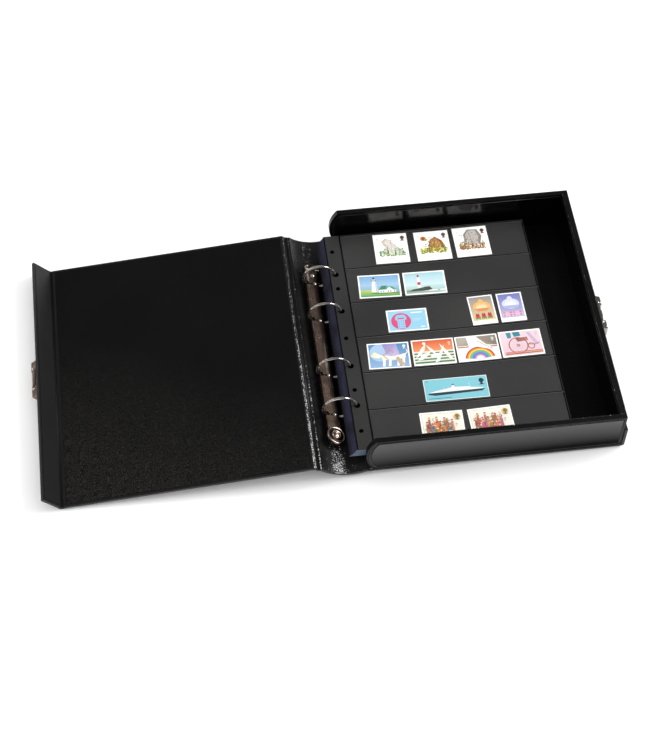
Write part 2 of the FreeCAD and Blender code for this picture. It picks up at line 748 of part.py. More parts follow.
for index in range(LEAF_COUNT):
    leaf_high = page_top - backing - 0.5 - leaf_pitch * float(index)
    left = page_left(number(leaf_high) - 0.5)
    fan = leaf_fan * float(index + 1)
    node(punched_sheet("leaf_%d" % index, left, page_width, leaf_high - leaf_thick, leaf_high,
                       leaf_hole_radius, fan),
         "page_%d" % (index + 2), TRAY_FRAME)

# Stamps: distance of the left edge from the page edge, raise above the fold, width, height, lean in degrees
STAMP_ROWS = (
    ((48.1, 0.6, 33.9, 36.9, -1.2), (89.6, 0.0, 34.6, 36.6, -0.2), (129.2, 0.4, 34.8, 37.0, 0.8)),
    ((25.9, 0.9, 41.3, 28.1, -2.4), (70.7, 0.3, 41.4, 28.0, -1.4)),
    ((48.0, 0.4, 39.6, 26.1, -1.2), (130.2, 0.0, 24.8, 34.5, 1.6), (158.2, 0.5, 25.0, 34.6, 0.4)),
    ((23.4, 0.4, 40.1, 29.7, -2.4), (66.4, 0.0, 40.8, 30.0, -1.2), (109.1, 0.2, 41.2, 29.7, 0.2),
     (151.9, 0.7, 41.0, 30.2, 0.6)),
    ((71.1, 0.2, 60.6, 24.8, -0.6),),
    ((61.6, 0.4, 40.4, 30.0, -1.2), (108.0, 0.2, 40.7, 30.0, 1.8)),
)
for row, (fold_y, stamps) in enumerate(zip(FOLD_YS, STAMP_ROWS), start=1):
    pieces = []
    for place, (left, up, width, height, lean) in enumerate(stamps, start=1):
        stamp = doc.addObject("Part::Box", "stamp_%d_%d" % (row, place))
        stamp.Length = width
        stamp.Width = height
        bind(stamp, Height=stamp_thick)
        swing = max(0.0, -math.sin(math.radians(lean))) * width
        corner_y = fold_y + 0.3 + up + swing
        shift(stamp, top_left + left, corner_y, page_top + stamp_rise, Rotation(Vector(0, 0, 1), lean))
        pieces.append(stamp)
    node(group("stamp_row_%d" % row, pieces), "stamps_row_%d" % row, TRAY_FRAME)

# ---------------------------------------------------------------- checks, resting position and files

doc.recompute()


def assert_sound():
    for item in doc.Objects:
        if "Invalid" in item.State or "Error" in item.State:
            raise RuntimeError("not computed: " + item.Label)
    for item, name, frame in nodes:
        if item.Shape.isNull() or not item.Shape.isValid():
            raise RuntimeError("bad shape: " + name)


def corner_points(deflection=0.05):
    """Vertices of a fine mesh over every sub-part."""
    points = []
    for item, name, frame in nodes:
        points.extend(item.Shape.tessellate(deflection)[0])
    return points


assert_sound()
for item, name, frame in nodes:
    item.Placement = frame
doc.recompute()

# The album rests on the fore-edge of its back cover and on the far edge of its front cover.
right_foot = Vector(number(face) - number(band_round), 0, 0)
left_foot = COVER_FRAME.multVec(Vector(number(board_right), 0, number(cover_top)))
REST_TILT = math.degrees(math.atan2(right_foot.z - left_foot.z, right_foot.x - left_foot.x))
LEVEL = Placement(Vector(), Rotation(Vector(0, 1, 0), REST_TILT))
for item, name, frame in nodes:
    item.Placement = LEVEL.multiply(frame)
doc.recompute()

points = corner_points()
lows = [min(point[axis] for point in points) for axis in range(3)]
highs = [max(point[axis] for point in points) for axis in range(3)]
to_origin = Vector(-(lows[0] + highs[0]) / 2.0, -(lows[1] + highs[1]) / 2.0, -lows[2])
REST = Placement(to_origin, Rotation()).multiply(LEVEL)
for item, name, frame in nodes:
    item.Placement = REST.multiply(frame)
doc.recompute()
assert_sound()

os.makedirs("parts", exist_ok=True)
for item, name, frame in nodes:
    item.Shape.exportStep("parts/" + name + ".step")
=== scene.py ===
"""Looks of the open stamp album: coverings, folds, metal, pages, films and printed stamps."""

import json
import math
import random

import bpy
from mathutils import Matrix, Vector


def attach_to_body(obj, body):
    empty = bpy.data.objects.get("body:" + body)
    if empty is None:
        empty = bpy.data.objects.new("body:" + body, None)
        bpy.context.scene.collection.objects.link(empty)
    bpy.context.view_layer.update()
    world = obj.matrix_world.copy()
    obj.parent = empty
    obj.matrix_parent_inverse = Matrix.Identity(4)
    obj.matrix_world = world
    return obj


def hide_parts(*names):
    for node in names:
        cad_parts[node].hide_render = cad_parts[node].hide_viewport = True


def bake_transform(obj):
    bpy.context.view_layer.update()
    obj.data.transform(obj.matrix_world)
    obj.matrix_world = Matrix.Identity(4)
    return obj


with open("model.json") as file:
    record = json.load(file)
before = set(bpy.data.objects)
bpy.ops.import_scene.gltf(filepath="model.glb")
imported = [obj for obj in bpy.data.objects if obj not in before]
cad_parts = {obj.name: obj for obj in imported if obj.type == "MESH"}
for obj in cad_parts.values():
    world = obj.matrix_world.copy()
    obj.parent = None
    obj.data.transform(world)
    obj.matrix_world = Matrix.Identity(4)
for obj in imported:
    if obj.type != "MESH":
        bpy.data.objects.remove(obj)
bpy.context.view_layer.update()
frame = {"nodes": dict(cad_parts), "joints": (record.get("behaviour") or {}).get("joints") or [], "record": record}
record = frame["record"]
nodes = frame["nodes"]
joints = {joint["name"]: joint for joint in frame["joints"]}
scene = bpy.context.scene
random.seed(7)

MM = 0.001

# ---------------------------------------------------------------- frames
# The closed album's frame, in millimetres: its back fold lies at BACK_FOLD and its front fold above it.
BACK_FOLD = Vector((-239.5, 0.0, 1.5))
FRONT_FOLD = Vector((-239.5, 0.0, 51.2))
FLAP_FOLD = Vector((-1.1, 0.0, 51.2))
HALF_DEPTH = 137.4
BOARD = 2.6
SHELL_RADIUS = 39.5
SHELL_THICK = 2.5
SHELL_HALF_ANGLE = 34.5


def turn(pivot, degrees):
    """Rotation about a line along Y through pivot."""
    there = Matrix.Translation(pivot)
    return there @ Matrix.Rotation(math.radians(degrees), 4, "Y") @ there.inverted()


def high_limit(name):
    return joints[name]["range_deg"][1]


def tilted_frame(joint, degrees):
    """Frame in millimetres with its origin on a joint, turned about Y."""
    there = Matrix.Translation(Vector(joints[joint]["pos_m"]))
    return there @ Matrix.Rotation(math.radians(degrees), 4, "Y") @ Matrix.Scale(MM, 4)


rest_normal = Vector(record["mounts"][0]["axis"])
case_tilt = math.degrees(math.atan2(-rest_normal.x, -rest_normal.z))
case = tilted_frame("spine_hinge", case_tilt) @ Matrix.Translation(-BACK_FOLD)
spine = case @ turn(BACK_FOLD, -high_limit("spine_hinge"))
cover = spine @ turn(FRONT_FOLD, -high_limit("cover_hinge"))
flap = cover @ turn(FLAP_FOLD, -high_limit("flap_hinge"))
ring_axis = Vector(joints["ring_lever"]["axis"])
ring_tilt = math.degrees(math.atan2(-ring_axis.z, ring_axis.x))
rings = tilted_frame("pages_on_rings", ring_tilt)


# ---------------------------------------------------------------- mesh helpers

def add_mesh(name, vertices, faces, material, smooth=False):
    mesh = bpy.data.meshes.new(name)
    mesh.from_pydata([tuple(v) for v in vertices], [], faces)
    mesh.validate()
    mesh.update()
    obj = bpy.data.objects.new(name, mesh)
    scene.collection.objects.link(obj)
    mesh.materials.append(material)
    if smooth:
        mesh.polygons.foreach_set("use_smooth", [True] * len(mesh.polygons))
    return obj


def swept_faces(rows, count, capped=True):
    """Faces between closed rows of count points each, with end caps where capped."""
    faces = []
    for row in range(rows - 1):
        for i in range(count):
            j = (i + 1) % count
            faces.append((row * count + i, row * count + j, (row + 1) * count + j, (row + 1) * count + i))
    if capped:
        faces.append(tuple(reversed(range(count))))
        faces.append(tuple((rows - 1) * count + i for i in range(count)))
    return faces


def extrude_profile(name, profile, half_length, material):
    """Closed profile in X and Z carried along Y to both sides, with capped ends."""
    vertices = [Vector((x, y, z)) for y in (-half_length, 0.0, half_length) for x, z in profile]
    return add_mesh(name, vertices, swept_faces(3, len(profile)), material, smooth=True)


def soften(name, width, segments=3):
    """Round the edges of a CAD node with a bevel."""
    obj = nodes[name]
    bevel = obj.modifiers.new("soft_edges", "BEVEL")
    bevel.width = width * MM
    bevel.segments = segments
    bevel.limit_method = "ANGLE"
    bevel.angle_limit = math.radians(40)
    bevel.harden_normals = True
    return obj


# ---------------------------------------------------------------- materials

class Shader:
    """Small helper that wires one procedural material."""

    def __init__(self, name):
        self.material = bpy.data.materials.new(name)
        self.material.use_nodes = True
        self.tree = self.material.node_tree
        self.principled = self.tree.nodes["Principled BSDF"]
        self.output = self.tree.nodes["Material Output"]
        self.coordinates = self.tree.nodes.new("ShaderNodeTexCoord").outputs["Object"]

    def add(self, kind, **inputs):
        made = self.tree.nodes.new(kind)
        for key, value in inputs.items():
            self.feed(made.inputs[key.replace("_", " ")], value)
        return made

    def feed(self, socket, value):
        if isinstance(value, bpy.types.NodeSocket):
            self.tree.links.new(value, socket)
        else:
            socket.default_value = value

    def set(self, **inputs):
        for key, value in inputs.items():
            self.feed(self.principled.inputs[key.replace("_", " ")], value)

    def noise(self, scale, detail=2.0, vector=None):
        made = self.add("ShaderNodeTexNoise", Scale=scale, Detail=detail)
        self.tree.links.new(vector or self.coordinates, made.inputs["Vector"])
        return made.outputs["Fac"]

    def cells(self, scale):
        made = self.add("ShaderNodeTexVoronoi", Scale=scale)
        self.tree.links.new(self.coordinates, made.inputs["Vector"])
        return made.outputs["Distance"]

    def axis(self, letter):
        split = self.tree.nodes.new("ShaderNodeSeparateXYZ")
        self.tree.links.new(self.coordinates, split.inputs["Vector"])
        return split.outputs[letter]

    def ramp(self, value, low, high, low_at=0.0, high_at=1.0):
        made = self.tree.nodes.new("ShaderNodeMapRange")
        self.feed(made.inputs["Value"], value)
        for key, item in (("From Min", low_at), ("From Max", high_at), ("To Min", low), ("To Max", high)):
            self.feed(made.inputs[key], item)
        return made.outputs["Result"]

    def mix_colour(self, factor, first, second):
        made = self.tree.nodes.new("ShaderNodeMix")
        made.data_type = "RGBA"
        self.feed(made.inputs["Factor"], factor)
        self.feed(made.inputs["A"], first)
        self.feed(made.inputs["B"], second)
        return made.outputs["Result"]

    def math(self, operation, first, second):
        made = self.tree.nodes.new("ShaderNodeMath")
        made.operation = operation
        self.feed(made.inputs[0], first)
        self.feed(made.inputs[1], second)
        return made.outputs[0]

    def bump(self, height, strength, distance):
        made = self.add("ShaderNodeBump", Height=height, Strength=strength, Distance=distance)
        return made.outputs["Normal"]


def grey(value, warmth=0.0):
    return (value * (1 + warmth), value, value * (1 - warmth), 1.0)


GLINT_SCALE = 950.0
GLINT_THINNING = 0.18


def leatherette(name, tone, rough, grain_mm, depth_mm, wear=0.25, specular=0.5, glint=None):
    """Black covering with a pebbled grain, small creases and uneven gloss.

    glint paints highlights into the colour and is (start, end, few, many, window): the noise level above which
    grain tips are painted light grey goes from few to many between start and end along Y; window is the middle and
    half width of the painted band along X, where the painted highlight tips thin out towards its edges.
    """
    shader = Shader(name)
    pebbles = shader.cells(1.0 / (grain_mm * MM))
    fine = shader.noise(2.4 / (grain_mm * MM), 3.0)
    cloud = shader.noise(22.0, 3.0)
    height = shader.math("ADD", pebbles, shader.math("MULTIPLY", fine, 0.5))
    valleys = shader.ramp(pebbles, 0.0, 1.0, 0.1, 0.6)
    colour = shader.mix_colour(valleys, grey(tone * 1.15), grey(tone * 0.75))
    colour = shader.mix_colour(shader.ramp(cloud, 0.0, wear, 0.35, 0.75), colour, grey(tone * 1.8))
    # Painted highlight: grain tips above a noise threshold are mixed to light grey in the colour.
    if glint:
        start, end, few, many, window = glint
        threshold = shader.ramp(shader.axis("Y"), few, many, start, end)
        if window:
            middle, half = window
            away = shader.math("ABSOLUTE", shader.math("SUBTRACT", shader.axis("X"), middle), 0.0)
            thinning = shader.ramp(away, 0.0, GLINT_THINNING, half * 0.35, half)
            threshold = shader.math("ADD", threshold, thinning)
        fully_lit = shader.math("ADD", threshold, 0.05)
        painted_highlight_tips = shader.ramp(shader.noise(GLINT_SCALE, 2.0), 0.0, 1.0, threshold, fully_lit)
        colour = shader.mix_colour(painted_highlight_tips, colour, grey(0.62))
    shader.set(Base_Color=colour)
    shader.set(Roughness=shader.ramp(cloud, rough - 0.05, rough + 0.09, 0.3, 0.7))
    shader.set(Specular_IOR_Level=specular)
    shader.set(Normal=shader.bump(height, 1.0, depth_mm * MM))
    return shader.material


def lining_material(name, tone, rough, grain_mm, depth_mm, specular=0.5, lift=0.0):
    """Inner sheet with a fine pebbled emboss; lift is the tone of painted highlight speckles at its near left
    corner.
    """
    shader = Shader(name)
    fine = shader.noise(1.0 / (grain_mm * MM), 2.0)
    cloud = shader.noise(14.0, 2.0)
    colour = shader.mix_colour(shader.ramp(cloud, 0.0, 1.0, 0.3, 0.7), grey(tone * 0.85), grey(tone * 1.2))
    # Painted sheen: speckles are lightened to the lift tone towards the near left corner.
    if lift:
        pebble = shader.noise(GLINT_SCALE * 1.1, 2.0)
        corner = shader.math("SUBTRACT", shader.math("MULTIPLY", shader.axis("X"), -0.5), shader.axis("Y"))
        amount = shader.ramp(corner, 0.04, 1.0, 0.06, 0.29)
        painted_sheen_speckle = shader.ramp(pebble, 0.0, 1.0, 0.46, 0.70)
        colour = shader.mix_colour(shader.math("MULTIPLY", amount, painted_sheen_speckle), colour, grey(lift, 0.10))
    shader.set(Base_Color=colour)
    shader.set(Roughness=shader.ramp(fine, rough - 0.05, rough + 0.05, 0.3, 0.7))
    shader.set(Normal=shader.bump(fine, 1.0, depth_mm * MM))
    shader.set(Specular_IOR_Level=specular)
    return shader.material


def panel_material(name, tone, rough, dark_at, light_at):
    """Smooth outer panel with painted shade that darkens it towards its lower edge."""
    shader = Shader(name)
    fine = shader.noise(1400.0, 2.0)
    cloud = shader.noise(7.0, 2.0)
    # Painted shade: colour and specular level fade to near black from light_at down to dark_at.
    rise = shader.ramp(shader.axis("Z"), 0.04, 1.0, dark_at, light_at)
    base = shader.mix_colour(shader.ramp(cloud, 0.0, 1.0, 0.3, 0.7), grey(tone * 0.92), grey(tone * 1.1))
    shader.set(Base_Color=shader.mix_colour(rise, grey(tone * 0.05), base))
    shader.set(Roughness=shader.ramp(fine, rough - 0.03, rough + 0.03, 0.3, 0.7))
    shader.set(Specular_IOR_Level=shader.math("MULTIPLY", rise, 0.36))
    shader.set(Normal=shader.bump(fine, 0.5, 0.02 * MM))
    return shader.material


def metal(name, colour, rough, brush=0.0, streak=None):
    """Plated steel with polishing marks and a little staining; streak is the colour of painted highlight streaks.
    """
    shader = Shader(name)
    stretch = shader.add("ShaderNodeMapping")
    stretch.inputs["Scale"].default_value = (1.0, 0.08, 1.0)
    shader.tree.links.new(shader.coordinates, stretch.inputs["Vector"])
    streaks = shader.noise(1800.0, 2.0, stretch.outputs["Vector"])
    stain = shader.noise(160.0, 3.0)
    dark = tuple(channel * 0.72 for channel in colour[:3]) + (1.0,)
    shader.set(Metallic=1.0)
    tone = shader.mix_colour(shader.ramp(stain, 0.0, 0.6, 0.45, 0.8), colour, dark)
    # Painted highlight: stretched noise streaks are mixed to the streak colour.
    if streak:
        painted_streaks = shader.noise(330.0, 1.0, stretch.outputs["Vector"])
        tone = shader.mix_colour(shader.ramp(painted_streaks, 0.0, 1.0, 0.60, 0.70), tone, streak)
    shader.set(Base_Color=tone)
    shader.set(Roughness=shader.ramp(stain, rough, rough + 0.12, 0.35, 0.8))
    if brush:
        shader.set(Normal=shader.bump(streaks, brush, 0.02 * MM))
    return shader.material


def card_material(name, tone, near_edge, spine_edge):
    """Black stock card; near_edge and spine_edge tint its cut edges at the front and at the rings, where painted
    shade darkens the tint towards the spine.
    """
    shader = Shader(name)
    fibre = shader.noise(900.0, 3.0)
    cloud = shader.noise(11.0, 1.0)
    shade = shader.ramp(cloud, 0.0, 1.0, 0.25, 0.75)
    face = shader.mix_colour(shade, grey(tone * 0.70), grey(tone * 1.25, 0.02))
    at_rings = shader.ramp(shader.axis("X"), 1.0, 0.0, SPINE_EDGE_X - 0.2 * MM, SPINE_EDGE_X + 1.4 * MM)
    # Painted shade: the tint at the rings darkens away from the page edge towards the spine, varied in patches by
    # noise.
    painted_shade = shader.ramp(shader.axis("X"), 0.15, 1.0, SPINE_EDGE_X - 6.5 * MM, SPINE_EDGE_X - 0.8 * MM)
    streak = shader.ramp(shader.noise(45.0, 1.0), 0.6, 1.5, 0.35, 0.65)
    tint = shader.mix_colour(shader.math("MULTIPLY", painted_shade, streak), (0.002, 0.002, 0.004, 1), spine_edge)
    face = shader.mix_colour(at_rings, face, tint)
    at_front = shader.ramp(shader.axis("Y"), 1.0, 0.0, NEAR_EDGE_Y + 0.02 * MM, NEAR_EDGE_Y + 0.1 * MM)
    shader.set(Base_Color=shader.mix_colour(at_front, face, near_edge))
    shader.set(Roughness=shader.ramp(fibre, 0.30, 0.42, 0.3, 0.7))
    shader.set(Specular_IOR_Level=0.4)
    shader.set(Normal=shader.bump(fibre, 0.6, 0.03 * MM))
    return shader.material


def film_material(name):
    """Clear pocket film: see-through, with a soft sheen and slight ripples on its upper face."""
    shader = Shader(name)
    ripple = shader.noise(16.0, 2.0)
    scuff = shader.noise(500.0, 4.0)
    normal = shader.bump(ripple, 0.5, 0.5 * MM)
    clear = shader.add("ShaderNodeBsdfTransparent", Color=(1, 1, 1, 1))
    dullness = shader.ramp(scuff, 0.14, 0.24, 0.3, 0.7)
    gloss = shader.add("ShaderNodeBsdfGlossy", Color=(1, 1, 1, 1), Roughness=dullness)
    shader.tree.links.new(normal, gloss.inputs["Normal"])
    facing = shader.add("ShaderNodeFresnel", IOR=1.45)
    shader.tree.links.new(normal, facing.inputs["Normal"])
    geometry = shader.tree.nodes.new("ShaderNodeNewGeometry")
    rays = shader.tree.nodes.new("ShaderNodeLightPath")
    upper = shader.ramp(geometry.outputs["Backfacing"], 1.0, 0.0)
    seen = shader.math("MULTIPLY", upper, shader.ramp(rays.outputs["Is Shadow Ray"], 1.0, 0.0))
    haze = shader.ramp(shader.noise(15.0, 3.0), 0.20, 0.80, 0.35, 0.65)
    amount = shader.math("MULTIPLY", shader.math("MULTIPLY", facing.outputs["Fac"], haze), seen)
    mix = shader.tree.nodes.new("ShaderNodeMixShader")
    shader.tree.links.new(amount, mix.inputs["Fac"])
    shader.tree.links.new(clear.outputs[0], mix.inputs[1])
    shader.tree.links.new(gloss.outputs[0], mix.inputs[2])
    shader.tree.links.new(mix.outputs[0], shader.output.inputs["Surface"])
    return shader.material


def ink_material(name):
    """Printed stamp paper: colours come from the mesh, varied by fibre and screen grain."""
    shader = Shader(name)
    ink = shader.add("ShaderNodeAttribute")
    ink.attribute_name = "ink"
    screen = shader.cells(3600.0)
    fibre = shader.noise(1500.0, 3.0)
    shade = shader.mix_colour(shader.ramp(screen, 0.0, 0.03, 0.2, 0.6), ink.outputs["Color"], (1, 1, 1, 1))
    shade = shader.mix_colour(shader.ramp(fibre, 0.0, 0.06, 0.4, 0.8), shade, (0.25, 0.24, 0.22, 1))
    shader.set(Base_Color=shade)
    shader.set(Roughness=0.62)
    shader.set(Specular_IOR_Level=0.1)
    shader.set(Normal=shader.bump(fibre, 0.5, 0.03 * MM))
    return shader.material


def extent(name, place):
    """Lowest and highest corner of a node in the frame of place."""
    inverse = place.inverted()
    points = [inverse @ v.co for v in nodes[name].data.vertices]
    low = Vector([min(p[i] for p in points) for i in range(3)])
    high = Vector([max(p[i] for p in points) for i in range(3)])
    return low, high


page_low, page_high = extent("page_1_backing", case)
SPINE_EDGE_X = (case @ page_low).x
NEAR_EDGE_Y = (case @ page_low).y

COVER_SKIN = leatherette("cover_leatherette", 0.008, 0.40, 0.75, 0.10, specular=0.32)
WALL_SKIN = leatherette("wall_leatherette", 0.004, 0.34, 0.75, 0.08, specular=0.16)
SHELL_SKIN = leatherette("spine_shell_leatherette", 0.007, 0.32, 1.0, 0.12, specular=0.32)
# SPINE_SKIN, RIDGE_SKIN, FINE_RIDGE_SKIN and BEAD_SKIN paint highlight specks into their colour through glint.
SPINE_SKIN = leatherette("spine_leatherette", 0.008, 0.28, 1.0, 0.12, specular=0.36,
                         glint=(-0.100, -0.132, 0.66, 0.50, (0.0005, 0.009)))
FOLD_SKIN = leatherette("fold_leatherette", 0.005, 0.32, 0.8, 0.12, specular=0.25)
RIDGE_SKIN = leatherette("ridge_leatherette", 0.010, 0.34, 0.8, 0.10, specular=0.22,
                         glint=(0.10, -0.138, 0.63, 0.49, None))
FINE_RIDGE_SKIN = leatherette("fine_ridge_leatherette", 0.010, 0.34, 0.8, 0.10, specular=0.22,
                              glint=(-0.02, -0.145, 0.66, 0.48, None))
BEAD_SKIN = leatherette("edge_bead_leatherette", 0.008, 0.34, 0.8, 0.10, specular=0.25,
                        glint=(0.14, -0.14, 0.68, 0.64, None))
# lift paints highlight speckles at the near left corner of the cover lining.
COVER_LINING = lining_material("cover_lining", 0.0030, 0.46, 0.55, 0.05, specular=0.13, lift=0.040)
FLAP_LINING = lining_material("flap_lining_sheet", 0.010, 0.40, 0.55, 0.04, specular=0.3)
TRAY_FLOOR = lining_material("tray_floor_sheet", 0.0026, 0.30, 0.9, 0.012, specular=0.15)
TRAY_LINING = lining_material("tray_lining", 0.0024, 0.16, 0.9, 0.010, specular=0.38)
# The panel colour carries painted shade towards its lower edge.
PANEL = panel_material("panel_sheet", 0.037, 0.34, 0.012, 0.044)
NICKEL = metal("nickel", (0.86, 0.80, 0.74, 1), 0.10, 0.3)
# The last colour of these metals paints highlight streaks.
PLATE_NICKEL = metal("plate_nickel", (0.30, 0.21, 0.165, 1), 0.20, 0.4, (0.95, 0.88, 0.80, 1))
HASP_NICKEL = metal("hasp_nickel", (0.29, 0.20, 0.165, 1), 0.20, 0.4, (0.62, 0.52, 0.46, 1))
CATCH_NICKEL = metal("catch_nickel", (0.42, 0.39, 0.36, 1), 0.16, 0.5, (0.86, 0.83, 0.80, 1))
CARD = card_material("stock_card", 0.027, (0.03, 0.03, 0.035, 1), (0.03, 0.03, 0.035, 1))
# On the leaves the spine_edge tint carries painted shade towards the spine.
LEAF = card_material("leaf_edges", 0.005, (0.19, 0.25, 0.32, 1), (0.034, 0.034, 0.072, 1))
MARGIN = card_material("margin_vinyl", 0.024, (0.03, 0.03, 0.035, 1), (0.03, 0.03, 0.035, 1))
FILM = film_material("pocket_film")
INK = ink_material("printed_paper")

FINISHES = {
    COVER_SKIN: ("back_cover_board", "fore_edge_band", "front_cover_board", "flap_board"),
    WALL_SKIN: ("rear_wall", "front_wall", "fore_edge_wall"),
    SHELL_SKIN: ("spine_shell",),
    SPINE_SKIN: ("spine_lining",),
    COVER_LINING: ("front_cover_lining",),
    FLAP_LINING: ("flap_lining",),
    TRAY_FLOOR: ("tray_floor_lining",),
    TRAY_LINING: ("rear_inner_lining", "front_inner_lining", "fore_edge_lining"),
    PANEL: ("rear_outer_panel", "front_outer_panel"),
    NICKEL: ("catch_rivets", "catch_pin", "mounting_posts", "lever_pin", "opening_lever",
             "left_carrier_blade", "left_half_rings", "right_carrier_blade", "right_half_rings",
             "hasp_rivets", "hasp_pin"),
    PLATE_NICKEL: ("ring_top_plate",),
    HASP_NICKEL: ("hasp_base", "hasp_tongue"),
    CATCH_NICKEL: ("catch_base", "catch_latch"),
    CARD: ("page_1_backing",),
    LEAF: tuple("page_%d" % i for i in range(2, 8)),
    MARGIN: ("page_1_margin_strip",),
    FILM: tuple(name for name in nodes if name.startswith("pocket_strip")),
}
for finish, names in FINISHES.items():
    for name in names:
        nodes[name].data.materials.clear()
        nodes[name].data.materials.append(finish)

for name in ("back_cover_board", "front_cover_board", "flap_board", "fore_edge_band"):
    soften(name, 0.9)
for name in ("rear_wall", "front_wall", "fore_edge_wall"):
    soften(name, 1.1)
for name in ("spine_shell", "ring_top_plate", "opening_lever"):
    soften(name, 0.25, 2)
for name in ("catch_base", "catch_latch", "hasp_base", "hasp_tongue"):
    soften(name, 0.35, 2)


# ---------------------------------------------------------------- folds of the covering

RIDGE_SPREAD = 0.07
RIDGE_RISE = 0.5 * MM
INNER_SAG = 0.9 * MM
RIDGE_ROOT = 0.6


def fold_profile(first, second, swell, ridges):
    """Cross-section of a covering fold between two board ends, with pressed ridges on its inner face.

    first and second are (outer point, inner point) of the two board ends, in row metres, X and Z only.
    """
    steps = 36
    outer = []
    inner = []
    for i in range(steps + 1):
        t = i / steps
        bow = math.sin(math.pi * t)
        low = first[0].lerp(second[0], t)
        high = first[1].lerp(second[1], t)
        along = (second[0] - first[0]).normalized()
        normal = Vector((-along.y, along.x))
        if normal.dot(first[1] - first[0]) < 0:
            normal = -normal
        raised = sum(math.exp(-((t - at) / RIDGE_SPREAD) ** 2) for at in ridges)
        outer.append(low - normal * swell * bow)
        inner.append(high + normal * (raised * RIDGE_RISE - bow * INNER_SAG))
    return [tuple(p) for p in outer] + [tuple(p) for p in reversed(inner)]


def flat(matrix, x, z):
    """Point of a frame in row metres, X and Z only."""
    point = matrix @ Vector((x, 0.0, z))
    return Vector((point.x, point.z))


def shell_end(sign):
    """Outer and inner edge of the spine shell at its lower (-1) or upper (+1) end."""
    reach = math.sqrt(SHELL_RADIUS ** 2 - ((FRONT_FOLD.z - BACK_FOLD.z) / 2) ** 2)
    centre = Vector((BACK_FOLD.x + reach, (FRONT_FOLD.z + BACK_FOLD.z) / 2))
    angle = math.radians(180 - sign * SHELL_HALF_ANGLE)
    direction = Vector((math.cos(angle), math.sin(angle)))
    outer = centre + direction * SHELL_RADIUS
    inner = centre + direction * (SHELL_RADIUS - SHELL_THICK)
    return outer, inner


def fold(name, stands_for, ends, material, swell=0.5 * MM, ridges=(0.3, 0.7)):
    obj = extrude_profile(name, fold_profile(ends[0], ends[1], swell, ridges), HALF_DEPTH * MM, material)
    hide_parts(stands_for)
    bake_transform(obj)
    return obj


low_outer, low_inner = shell_end(-1)
top_outer, top_inner = shell_end(1)
OVERLAP = 0.6
FOLD_CLEARANCE = 2.5
BACK_FACE = 0.05
FLAP_TOP = 48.4 - OVERLAP
FLAP_OUTER = -1.0
COVER_END = -4.0 - OVERLAP
back_edge = BACK_FOLD.x + FOLD_CLEARANCE + OVERLAP
fold("back_fold_skin", "back_hinge_strip",
     ((flat(case, back_edge, BACK_FACE), flat(case, back_edge, BOARD)),
      (flat(spine, *low_outer), flat(spine, *low_inner))),
     SPINE_SKIN)
cover_outer_z = FRONT_FOLD.z - OVERLAP
cover_inner_z = cover_outer_z - BOARD
front_ends = (flat(spine, *top_inner), flat(cover, back_edge, cover_inner_z))
fold("front_fold_skin", "front_hinge_strip",
     ((flat(spine, *top_outer), flat(spine, *top_inner)),
      (flat(cover, back_edge, cover_outer_z), flat(cover, back_edge, cover_inner_z))),
     FOLD_SKIN)


def ridge(name, at, half_width, rise, material):
    """Low pressed ridge along the front fold, a share at of the way from the spine to the cover."""
    start, end = front_ends
    along = (end - start).normalized()
    up = Vector((-along.y, along.x))
    if up.y < 0:
        up = -up
    middle = start.lerp(end, at) - up * RIDGE_RISE
    steps = 8
    profile = [tuple(middle - along * half_width * MM - up * RIDGE_ROOT * MM)]
    for i in range(steps + 1):
        angle = math.pi * (1 - i / steps)
        offset = along * half_width * math.cos(angle) + up * rise * math.sin(angle)
        profile.append(tuple(middle + offset * MM))
    profile.append(tuple(middle + along * half_width * MM - up * RIDGE_ROOT * MM))
    obj = extrude_profile(name, profile, (HALF_DEPTH - RIDGE_ROOT) * MM, material)
    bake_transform(obj)


# The ridges carry painted highlight specks from their materials.
ridge("front_fold_ridge", 0.90, 1.3, 0.8, RIDGE_SKIN)
ridge("spine_fold_ridge", 0.16, 0.7, 0.6, FINE_RIDGE_SKIN)
fold("flap_fold_skin", "flap_hinge_strip",
     ((flat(cover, COVER_END, cover_outer_z), flat(cover, COVER_END, cover_inner_z)),
      (flat(flap, FLAP_OUTER, FLAP_TOP), flat(flap, FLAP_OUTER - BOARD, FLAP_TOP))),
     COVER_SKIN, swell=1.6 * MM)

# ---------------------------------------------------------------- small fittings and seams

def lathe(name, place, profile, material, sides=40):
    """Surface of revolution about the Z axis of place; profile lists (radius, height)."""
    vertices = []
    for radius, height in profile:
        for i in range(sides):
            angle = 2 * math.pi * i / sides
            vertices.append(place @ Vector((radius * math.cos(angle), radius * math.sin(angle), height)))
    return add_mesh(name, vertices, swept_faces(len(profile), sides, capped=False), material, smooth=True)


def tube(name, place, points, radius, material, sides=8, taper=None):
    """Round bead along points; taper gives a factor for the radius at every point."""
    vertices = []
    count = len(points)
    for i, point in enumerate(points):
        along = (points[min(i + 1, count - 1)] - points[max(i - 1, 0)]).normalized()
        across = along.cross(Vector((0.13, 0.31, 0.94))).normalized()
        other = along.cross(across)
        size = radius * (taper[i] if taper else 1.0)
        for k in range(sides):
            angle = 2 * math.pi * k / sides
            vertices.append(place @ (point + (across * math.cos(angle) + other * math.sin(angle)) * size))
    return add_mesh(name, vertices, swept_faces(count, sides), material, smooth=True)


def attach(obj, body):
    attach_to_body(obj, body)
    return obj


WALL_LOW, WALL_HIGH = 2.6, 46.8
WALL_LEFT, WALL_RIGHT = -236.5, -4.4
WALL_BULGE = 35.0


